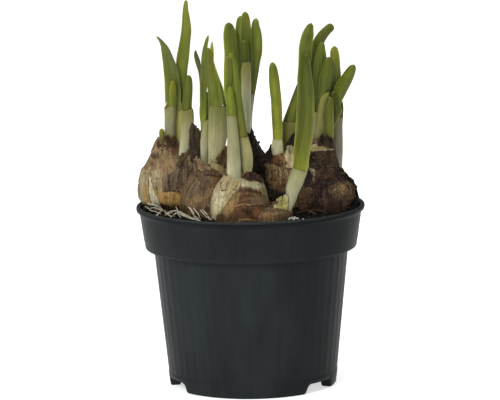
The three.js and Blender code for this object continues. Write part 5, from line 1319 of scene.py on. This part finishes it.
# Each row: name, how far below its end the tip starts to round, the azimuth that its arched face looks
# to, the painted light and shade on its left, middle and right, colours at the foot, middle and end, and
# its path.
LEAVES = [
    ("left_tall", 1, 180, (0.98, 0.97, 0.93), ((39, 44, 24), (112, 120, 44), (121, 126, 52)),
     [(-37, 7.2, 136, 2.8), (-36.9, 7, 149, 3.2), (-34.6, 6.9, 154.3, 4.7), (-34.8, 6.8, 160.6, 5.2),
      (-34.7, 6.7, 165.9, 5.6), (-34.3, 6.6, 171.2, 6.3), (-33.5, 6.5, 176.5, 5.9),
      (-32.7, 6.5, 181.7, 5.3), (-32, 6.5, 187, 5), (-32, 6.5, 192.2, 4), (-32.2, 6.5, 197.5, 2.6),
      (-32, 6.5, 200.6, 1.9), (-31.8, 6.5, 202.7, 1)]),
    ("left_drooping", 1, 180, (1.14, 0.86, 0.86), ((158, 159, 101), (104, 113, 51), (110, 116, 62)),
     [(-41, 3.6, 136, 3.2), (-41.3, 4, 145, 5.6), (-39.7, 4.5, 147.8, 7.3), (-39.7, 4.5, 150.4, 8),
      (-39.7, 4.5, 155.7, 8.2), (-40, 4.4, 161, 7.6), (-40.6, 4.4, 166.3, 7.2), (-41.7, 4.2, 171.6, 5.8),
      (-43.1, 4, 176.9, 4.2), (-44.2, 4, 179.6, 2.7), (-45.8, 4, 182.2, 1.3), (-47.6, 4, 184.2, 0.5)]),
    ("left_short", 1.6, 0, (0.98, 0.87, 1.11), ((117, 122, 47), (113, 121, 46), (135, 142, 60)),
     [(-41.8, 1.6, 137, 2.8), (-40, 1.6, 147.7, 3.6), (-39.7, 1.6, 153.5, 3.5), (-39.6, 1.6, 157.7, 2.9),
      (-39.6, 1.6, 159.8, 2.1), (-39.8, 1.6, 161.2, 0.9)]),
    ("left_inner", 1.6, 0, (0.84, 1.02, 1.09), ((107, 110, 41), (98, 103, 39), (100, 108, 41)),
     [(-33, -2.2, 134, 3.4), (-32.5, -1.7, 146.4, 5.1), (-32.2, -1.6, 149.6, 4.8),
      (-31.9, -1.6, 152.7, 4.7), (-31.6, -1.6, 156.4, 4.6), (-31.3, -1.6, 160.1, 4),
      (-31.1, -1.6, 162.7, 2.9), (-30.9, -1.6, 164.3, 1.5)]),
    ("left_bud", 2.2, 0, (1, 1, 1), ((95, 79, 60), (89, 76, 47), (138, 137, 54)),
     [(-45.4, -1.2, 122, 2.4), (-45.6, -1.4, 130, 2.8), (-45.8, -1.5, 136.4, 2.4)]),
    ("mid_left_edge", 1, -40, (1.35, 0.74, 0.92), ((182, 181, 75), (106, 114, 46), (132, 137, 67)),
     [(-23.6, -17.9, 128, 2.6), (-23.7, -17.6, 139, 2), (-24.1, -17.6, 142.7, 3.4),
      (-24.1, -17.4, 147.9, 3.9), (-23.6, -17.4, 153.1, 3.7), (-23.5, -17.4, 158.3, 3.9),
      (-23.2, -17.4, 163.6, 4), (-23, -17.4, 168.8, 3.8), (-22.9, -17.4, 174, 3.3),
      (-22.7, -17.4, 176.6, 3), (-22.4, -17.4, 179.2, 2.6), (-21.8, -17.4, 181.7, 2.2),
      (-21.1, -17.4, 184.3, 1.8), (-20.2, -17.4, 186.9, 0.4)]),
    ("mid_left_dark", 1.6, 160, (1.1, 0.95, 0.9), ((89, 97, 41), (89, 97, 42), (77, 83, 42)),
     [(-23.2, -12.9, 113, 2.4), (-23.5, -12.8, 136, 3), (-23.8, -12.8, 150, 3),
      (-24.1, -12.8, 160.4, 2.1), (-24.4, -12.8, 165.6, 2.2), (-24.9, -12.8, 168.2, 2.1),
      (-25.6, -12.8, 170.8, 2.3), (-26.2, -12.8, 173.5, 2.5), (-26.9, -12.8, 176.1, 1.9),
      (-27.1, -12.8, 178.9, 0.5)]),
    ("mid_left_short", 1.6, 0, (0.97, 0.94, 0.94), ((153, 162, 48), (145, 158, 48), (153, 167, 36)),
     [(-20.9, -14.6, 114, 2), (-21.2, -14.8, 136, 2), (-21.4, -14.9, 148.6, 1.6),
      (-21.5, -14.9, 152.8, 1.8), (-21.6, -15, 155.4, 1.5), (-21.6, -15, 157.2, 0.5)]),
    ("mid_left_thin", 7, 180, (1, 1, 1), ((136, 147, 68), (129, 141, 64), (149, 153, 68)),
     [(-18.4, -18, 138, 2.4), (-18.6, -17.8, 149.5, 2.4), (-19, -17.6, 165, 2.4), (-18.8, -17.6, 175, 2),
      (-18.3, -17.6, 183, 1.4)]),
    ("mid_left_wide", 1.6, 0, (0.77, 0.97, 1.26), ((119, 123, 48), (114, 119, 47), (104, 111, 45)),
     [(-17.4, -21, 136, 5), (-17.3, -20.9, 149.3, 7.2), (-17.3, -20.8, 153.5, 7.2),
      (-17.8, -20.7, 158.7, 6.5), (-18.6, -20.6, 163.9, 6), (-19.5, -20.5, 169.1, 5.1),
      (-20.1, -20.4, 174.3, 3.8), (-20.4, -20.2, 179.5, 2.4), (-20.4, -20.2, 180.8, 0.8)]),
    ("mid_left_leaning", 1, 150, (0.95, 0.85, 1.2), ((136, 152, 82), (170, 182, 102), (207, 220, 151)),
     [(-15.4, -14.4, 112, 2.6), (-13.4, -13.6, 132, 3), (-11.8, -13.1, 144.5, 1.8),
      (-12.2, -13, 149.2, 1.8), (-13.1, -13, 153.4, 2.5), (-14.3, -13, 157.6, 3.4),
      (-16.1, -13, 162.9, 3.4), (-17.6, -13, 168.1, 2.8), (-18.7, -13, 173.4, 2),
      (-18.7, -13, 177.5, 1.5), (-18.6, -13, 180.6, 1.2), (-18.2, -13, 183, 0.5)]),
    ("front_left", 1.6, 0, (0.9, 1.03, 0.99), ((104, 113, 42), (109, 117, 43), (116, 126, 46)),
     [(-8.8, -38.3, 136, 3.4), (-9.1, -38.2, 147.9, 4.5), (-9.1, -38.1, 151.5, 4.3),
      (-9.3, -38, 155.7, 3.7), (-9.4, -38, 159.3, 3.1), (-9.5, -38, 161.9, 2.1), (-9.7, -38, 162.9, 1.1)]),
    ("front_left_rear", 1.6, 180, (1.26, 0.92, 0.89), ((103, 114, 44), (87, 96, 35), (99, 104, 37)),
     [(-8.8, -35.6, 137, 2.8), (-8.9, -35.4, 148, 3), (-9.9, -35.3, 159.4, 2.9),
      (-9.9, -35.2, 165.6, 3.1), (-10, -35.2, 170.8, 3), (-10.3, -35.2, 176, 2.5),
      (-10.2, -35.2, 178.3, 1)]),
    ("front_right", 1.6, 15, (1.2, 0.93, 0.88), ((120, 120, 50), (112, 120, 52), (120, 130, 53)),
     [(-2, -33.6, 125, 3.2), (-3.4, -33.6, 135.8, 5.1), (-3.8, -33.6, 139.4, 5.2),
      (-4.3, -33.6, 144.6, 4.9), (-5, -33.4, 149.8, 4.8), (-5.6, -33.3, 155, 4.8),
      (-5.9, -33.2, 160.1, 4.3), (-6.5, -33.1, 165.3, 3.8), (-7.1, -33, 170.5, 3.4),
      (-8, -32.9, 175.6, 2.5), (-8.5, -32.8, 178.2, 1.8), (-8.9, -32.8, 179.5, 1.1)]),
    ("back_left", 1.6, 170, (1.42, 0.89, 0.84), ((118, 127, 49), (112, 121, 49), (102, 111, 44)),
     [(-6.4, 29.5, 114, 2.6), (-8.6, 30, 128, 3), (-9.8, 30.5, 142, 4.2), (-9.5, 30.7, 146.4, 6.3),
      (-9.3, 30.9, 154.4, 7.1), (-9.1, 31.1, 162.4, 7.3), (-8.8, 31.2, 170.4, 7), (-9, 31.2, 175.7, 7.1),
      (-9.3, 31.2, 180.5, 6.8), (-9.5, 31.2, 183.7, 5.9), (-9.9, 31.2, 186.4, 4),
      (-10.1, 31.2, 187.9, 2.1)]),
    ("back_rear", 1.6, 180, (0.95, 0.95, 1.1), ((192, 201, 114), (163, 180, 90), (133, 146, 74)),
     [(-3.6, 33, 114, 2.6), (-3.7, 34.2, 135, 3), (-4.4, 34.6, 152, 4.4), (-4.2, 34.7, 156.5, 4.8),
      (-3.9, 34.8, 167.2, 5.6), (-3.8, 34.8, 175.2, 5.9), (-3.6, 34.8, 182.2, 5.6),
      (-3.5, 34.8, 185.9, 5.1), (-3.6, 34.8, 189.1, 3.7), (-3.6, 34.8, 190.9, 1.6)]),
    ("back_middle", 1.6, 180, (1.08, 0.93, 1.01), ((67, 77, 33), (78, 88, 35), (109, 116, 43)),
     [(-1.2, 26.7, 152, 3), (-1.1, 26.7, 168.2, 5.2), (-1, 26.8, 173.5, 5.3), (-1, 27, 178.8, 5.4),
      (-0.9, 27, 184.1, 5.3), (-1, 27, 189.4, 4.5), (-1.1, 27, 192.6, 3), (-1.1, 27, 193.9, 1.6)]),
    ("back_right", 1.6, 165, (1.07, 0.99, 0.87), ((157, 155, 96), (116, 127, 66), (127, 138, 61)),
     [(0.3, 31.8, 137, 2.6), (2, 32, 148.2, 2.2), (2.3, 32, 151.4, 2.9), (2.9, 32, 156.7, 3.7),
      (3.5, 32, 162.1, 4.5), (4, 32, 167.4, 5.4), (4.6, 32, 171.7, 6.2), (4.8, 32, 177, 6.2),
      (4.7, 32, 181.8, 5.6), (4.4, 32, 185.5, 4.2), (4.5, 32, 188.2, 3), (4.7, 32, 189.8, 1.3)]),
    ("back_short", 1.6, 0, (0.77, 1.11, 1.04), ((72, 79, 28), (72, 80, 28), (81, 92, 33)),
     [(-1.4, 23.9, 154, 3.2), (-1.6, 23.8, 167.5, 4.5), (-1.7, 23.8, 173.8, 4.5), (-2, 23.8, 177.6, 3.5),
      (-2.4, 23.8, 179.2, 1.4)]),
    ("mid_right_single", 1.6, 0, (0.89, 1.04, 0.97), ((203, 199, 73), (148, 154, 59), (110, 120, 50)),
     [(15, 4, 116, 3.6), (14.8, 4, 129, 4.7), (14.8, 4, 133.7, 4.9), (14.7, 4, 139, 5.2),
      (14.6, 4, 144.3, 5.4), (14.4, 4, 149.6, 5.3), (13.9, 4, 154.9, 5.4), (13.5, 4, 160.2, 5.2),
      (13.1, 4, 165.5, 4.2), (12.8, 4, 168.1, 2.9), (12.7, 4, 169.7, 1.3)]),
    ("mid_right_leaning", 1.6, 0, (0.91, 1.19, 0.8), ((107, 105, 53), (103, 109, 48), (74, 81, 43)),
     [(21.3, 13, 125, 4.4), (21.5, 13.4, 135.5, 7), (21.9, 13.4, 137.6, 6.9), (23.5, 13.6, 142.8, 6.1),
      (24.8, 13.9, 148.1, 4.7), (25.8, 14, 152.3, 3.5), (26.8, 14, 156.5, 2.1), (27.3, 14, 159.7, 0.7)]),
    ("offset_front", 1.6, 0, (0.88, 0.96, 1.14), ((132, 134, 45), (92, 100, 36), (76, 86, 30)),
     [(23.4, -40.6, 110, 3.6), (26, -39.8, 120.1, 7.3), (26.6, -39.5, 124.2, 7.2),
      (27.6, -39.4, 129.4, 7), (28.8, -39.2, 134.5, 6.6), (29.6, -39.1, 139.6, 6),
      (30.1, -39, 144.8, 5.8), (30.6, -38.9, 150, 5.6), (30.6, -38.8, 155.1, 5.6),
      (30.5, -38.7, 160.3, 5.4), (30.2, -38.6, 165.4, 4.9), (30, -38.5, 170.5, 4.1),
      (29.8, -38.3, 174.6, 3.4), (29.8, -38.2, 177.7, 2.6), (29.8, -38.2, 179.3, 1.2)]),
    ("offset_tall", 1.6, 180, (1.29, 0.93, 0.95), ((125, 125, 57), (86, 92, 41), (91, 97, 34)),
     [(21.8, -38, 110, 3), (23.9, -36.9, 117.6, 3.4), (25, -36.1, 131.5, 3.8), (25.9, -35.9, 138.2, 4.2),
      (26.5, -35.7, 144.4, 4.4), (27, -35.6, 152.1, 4.4), (27.5, -35.4, 159.9, 4.6),
      (27.7, -35.4, 166.1, 5), (28.4, -35.4, 171.2, 5.4), (29.1, -35.4, 176.4, 6.3),
      (29.5, -35.4, 181.5, 6.6), (30.1, -35.4, 185.6, 6.1), (30.8, -35.4, 188.2, 5.8),
      (31.4, -35.4, 190.7, 4.6), (32.4, -35.4, 193.3, 2.6), (32.9, -35.4, 194.3, 0.8)]),
    ("right_curved", 2.4, 180, (1.21, 0.93, 0.89), ((51, 59, 30), (48, 57, 26), (92, 96, 37)),
     [(35.2, 2.3, 133, 3), (34.6, 2.3, 143, 3.4), (33.6, 2.4, 152, 4), (33.4, 2.8, 160, 4.4),
      (33.7, 3.2, 167, 4.6), (34.4, 3.6, 172, 4.7), (35.8, 4.2, 177.2, 5.6), (38.4, 4.9, 182.2, 5.2),
      (41.7, 5.5, 185.9, 4.4), (44.9, 6, 188.3, 4.1)]),
    ("right_second", 1.6, 0, (0.93, 0.96, 1.12), ((94, 99, 43), (75, 84, 30), (101, 109, 42)),
     [(35.7, -0.4, 133, 3), (36.2, -0.5, 145.6, 2.1), (36.2, -0.6, 149.9, 3.2), (36.2, -0.7, 155.1, 4.3),
      (36.7, -0.8, 160.4, 5.6), (37.2, -0.9, 164.6, 6.2), (37.5, -0.9, 168.3, 6.1), (38, -1, 172.5, 5.6),
      (38.2, -1, 176.2, 4.3), (38.6, -1, 178.8, 2.8), (38.8, -1, 180.6, 1)]),
    ("right_centre", 1.6, 0, (0.93, 1.05, 0.96), ((108, 108, 50), (94, 101, 40), (101, 110, 42)),
     [(38.1, -4.3, 138, 3), (38.3, -4.3, 150.3, 3.9), (39, -4.3, 153.5, 5.3), (39.6, -4.4, 156.6, 6.3),
      (40.2, -4.4, 160.8, 6.4), (40.8, -4.4, 165, 5.9), (41.2, -4.4, 168.1, 4.8),
      (41.8, -4.4, 171.3, 3.2), (41.9, -4.4, 173.1, 1.6)]),
    ("right_brown_tip", 1.6, 180, (0.98, 0.99, 1.04), ((77, 87, 38), (78, 91, 37), (123, 125, 45)),
     [(46.6, -0.9, 130, 3.2), (47, -0.9, 141.8, 4.2), (46.9, -0.8, 147.1, 4.6), (45.2, -0.7, 152.3, 5.4),
      (45.2, -0.6, 157.6, 5.6), (45.3, -0.6, 162.9, 5.8), (45.5, -0.5, 167.6, 4.8),
      (45.3, -0.5, 171.8, 4.7), (45.1, -0.5, 174.9, 4.2), (45.1, -0.5, 177, 3), (45, -0.5, 178.2, 1.2)]),
    ("right_leaning", 1.6, 0, (1.03, 1.06, 0.88), ((73, 82, 28), (93, 104, 33), (99, 106, 36)),
     [(42, -3.1, 121, 2.2), (42.5, -3.2, 134, 2.4), (45.7, -3.6, 142.7, 1.6), (45.8, -3.8, 145.9, 2.8),
      (46.4, -4, 150.1, 4.5), (47.3, -4.2, 153.3, 5.9), (48.4, -4.3, 156.5, 6.8),
      (50.3, -4.5, 159.6, 6.3), (52.1, -4.8, 162.8, 5.6), (53.5, -4.9, 165.4, 4.7),
      (54.6, -4.9, 167.5, 3.2), (55.2, -5, 168.8, 1.4)]),
    ("right_low", 1.6, 0, (1.02, 0.88, 1.12), ((87, 87, 42), (82, 86, 38), (78, 88, 32)),
     [(41.8, -5.6, 120, 2.2), (42.5, -5.7, 134, 2.4), (46.2, -5.8, 143.6, 3.6), (45.8, -5.8, 147.2, 4.2),
      (45.2, -5.8, 150.4, 4.2), (44.5, -5.8, 153.6, 3.4), (43.7, -5.8, 155.2, 1.4)]),
    ("right_front", 1.6, 0, (1.04, 0.99, 0.93), ((114, 117, 49), (112, 119, 50), (102, 109, 47)),
     [(39.8, -7.8, 119, 2.4), (41.7, -8, 131.8, 4.1), (41.8, -8, 135, 4.4), (41.8, -8.1, 139.2, 4.4),
      (42, -8.1, 144.5, 4.3), (42.1, -8.1, 148.1, 3.8), (42.7, -8.1, 150.8, 2.4),
      (42.7, -8.1, 152.3, 1.1)]),
]


def along_blade(v):
    """The share of a blade's length at a row of its grid, where the rows crowd towards the tip."""
    share = min(max((v - LEAF_END) / 0.97, 0), 1)
    return share + 0.3 * share * (1 - share)


def blade_form(tip, azimuth, sides, colours, path, seed):
    """The rules that place and colour one blade: arched across, channelled along, rounded at the tip."""
    length, at = follow(path)
    foot, middle, end = (tone(*c) for c in colours)
    left, centre, right = sides
    tip_start = 1 - tip / length

    def place(u, v):
        turn = 2 * math.pi * (u + 0.25)
        share = along_blade(v)
        spot, ahead, width = at(share)
        across, outward = across_and_out(ahead, azimuth)
        into = min(max((share - tip_start) / (1 - tip_start), 0), 1)
        taper = math.sqrt(max(1 - into ** 2.2, 0))
        closing = min(v / LEAF_END, 1) * (0 if v > 0.999 else 1)
        sideways, deep = math.sin(turn), -math.cos(turn)
        half = (width + EDGE) / 2 * taper * closing
        half_thick = min(LEAF_THICKNESS, 0.55 * width) / 2 * max(taper, 0.35) * closing
        arch = LEAF_CUP * half * (0.5 - sideways ** 2)
        channel = LEAF_CHANNEL * half * math.exp(-(sideways / 0.4) ** 2) if deep > 0 else 0
        wave = 0.12 * noise.noise(Vector((share * 3.5, seed, sideways * 0.7))) * width / 4
        return spot + across * sideways * half + outward * (deep * half_thick + arch - channel + wave)

    def coat(point, u, v):
        share = along_blade(v)
        sideways = math.sin(2 * math.pi * (u + 0.25))
        colour = mixed(foot, middle, soften(0.0, 0.5, share))
        colour = mixed(colour, end, soften(0.5, 1, share))
        # Painted light and shade across the blade: its left, middle and right made lighter or darker as
        # they face the light.
        seen = sideways if abs(azimuth) > 90 else -sideways
        shade = centre + (right - centre) * soften(0.1, 0.9, seen)
        shade += (left - centre) * soften(-0.1, -0.9, seen)
        mottled = 0.12 * noise.noise((share * length / 9, sideways * 1.5, seed + 40))
        # A painted highlight along both edges of the blade, with random mottling.
        shade *= 1 + 0.5 * soften(0.86, 1, abs(sideways)) + mottled
        warm = 1 + 0.16 * noise.noise((share * length / 14, sideways, seed + 60))
        colour = tuple(c * t * shade ** 1.6 for c, t in zip(colour, LEAF_TINT))
        colour = (colour[0] * warm, colour[1], colour[2] / warm ** 2)
        burnt = soften(1 - 1.6 / length, 1, share)
        return mixed(colour, BURNT, 0.45 * burnt)

    return place, coat


leaf_skin = growth_finish("leaf_skin", 46, 0.2, 0.36)
for seed, (name, tip, azimuth, sides, colours, path) in enumerate(LEAVES):
    place, coat = blade_form(tip, azimuth, sides, colours, path, seed)
    skin("blade_" + name, *LEAF_GRID, place, coat, leaf_skin, "leaf", "leaf_" + name)

# Roots: a tangle of white fleshy roots lying loose on the compost at the left, from under the left bulb
# to the rim, and two thin dried ones at the right. Each row: thickness, colours and path.
ROOT_GRID = (12, 50)
ROOT_SHRINK = 0.78
FRESH = ((186, 180, 162), (116, 98, 70))
DRIED = ((112, 88, 70), (66, 50, 40))
ROOTS = [
    (1.0, FRESH,
     [(-54.4, -5.6, 97.6), (-51.4, -8.4, 97.4), (-49, -10, 96.9), (-46.7, -13, 95.9),
      (-44.9, -22.2, 95.6), (-42.6, -32.5, 95.6), (-40, -37.2, 95.4)]),
    (0.9, FRESH,
     [(-55.2, -5, 95.6), (-53.5, -11.8, 95.9), (-51.7, -19, 95.8), (-49, -23.7, 95.9),
      (-46.3, -28.4, 95.2)]),
    (1.1, FRESH,
     [(-43.7, -30.5, 95.2), (-42.2, -26.3, 96), (-40.2, -24.6, 96.2), (-38.1, -24, 96.2),
      (-36, -27.6, 96), (-32.8, -36.6, 95.8), (-29.6, -44.4, 95.8), (-25.9, -50.9, 96)]),
    (0.8, FRESH, [(-38.8, -14, 96.6), (-37.9, -21.7, 96.4), (-37.5, -31.2, 95.8), (-35.8, -39.4, 95.2)]),
    (0.9, FRESH, [(-32, -29.4, 99.1), (-30.4, -34, 97.6), (-28.8, -40.3, 96.2), (-26.4, -49.6, 95.8)]),
    (0.8, FRESH, [(-29.6, -31.6, 99), (-27.8, -35.4, 97.6), (-26.6, -40.5, 96.2), (-25.7, -47.9, 95.6)]),
    (0.9, FRESH, [(-24.8, -33.8, 98.2), (-23, -37.4, 97), (-21.6, -43.1, 96), (-20.2, -53, 96)]),
    (0.8, FRESH, [(-52.4, -13.9, 96), (-49.8, -12.8, 96.3), (-47.1, -18.9, 96), (-44.3, -24.2, 96)]),
    (0.8, FRESH, [(-48.8, -31.9, 95.4), (-45.9, -24, 96.2), (-43.9, -21.1, 96)]),
    (0.9, FRESH, [(-35.4, -31.4, 95.8), (-31.1, -46, 95.8), (-28, -50.6, 96)]),
    (0.5, DRIED, [(24.6, -24.8, 94.4), (27.4, -27.4, 95.6), (30.6, -27.8, 95.8), (34.2, -31.6, 94.6)]),
    (0.4, DRIED, [(30.2, -30.4, 94.6), (31.4, -26.8, 95.8), (35, -25.6, 95.8), (39.4, -28.4, 94.4)]),
    (0.8, FRESH, [(-41.4, -39.2, 95.5), (-38.5, -31.1, 96.2), (-34.9, -33.3, 96.2), (-32.1, -43.6, 95.4)]),
]


def root_form(thick, colours, path, seed):
    """The rules that place and colour one root: it thins and wanders from its start to its end."""
    length, at = follow([(*p, thick * ROOT_SHRINK) for p in path])

    def place(u, v):
        turn = 2 * math.pi * u
        spot, ahead, width = at(v)
        across, outward = across_and_out(ahead, 0) if abs(ahead.y) < 0.8 else across_and_out(ahead, 90)
        shape = 1 - 0.45 * v + 0.16 * noise.noise(Vector((v * length * 0.5, seed, 0)))
        half = width / 2 * shape * math.sqrt(max(min(v / 0.02, (1 - v) / 0.03, 1), 0))
        sway_x, sway_y = (noise.noise((v * length * 0.16, seed, shift)) for shift in (3, 9))
        wobble = Vector((sway_x, sway_y, 0.0)) * 0.5
        return spot + wobble + across * math.cos(turn) * half + outward * math.sin(turn) * half

    def coat(point, u, v):
        stain = soften(0.05, 0.5, noise.noise(point * 0.35 + Vector((seed, 0, 0))))
        return mixed(tone(*colours[0]), tone(*colours[1]), 0.8 * stain)

    return place, coat


root_skin = coated_finish("root_skin", 0.5, 0.3, 1100, 3, 0.75, 1.2, 0.4, 0.0003)
drift = random.Random(41)
for strand, (thick, colours, path) in enumerate(ROOTS):
    for twin in range(2 - strand % 2):
        shifted = [(x + drift.uniform(-1.3, 1.3) * twin, y + drift.uniform(-1.8, 1.8) * twin,
                    z - drift.uniform(0, 0.5) * twin) for x, y, z in path]
        stout = thick * drift.uniform(0.6, 1) if twin else thick
        place, coat = root_form(stout, colours, shifted, strand * 5 + twin)
        nodes = [] if strand or twin else ["roots_left"]
        skin(f"root_{strand}_{twin}", *ROOT_GRID, place, coat, root_skin, "root", *nodes)
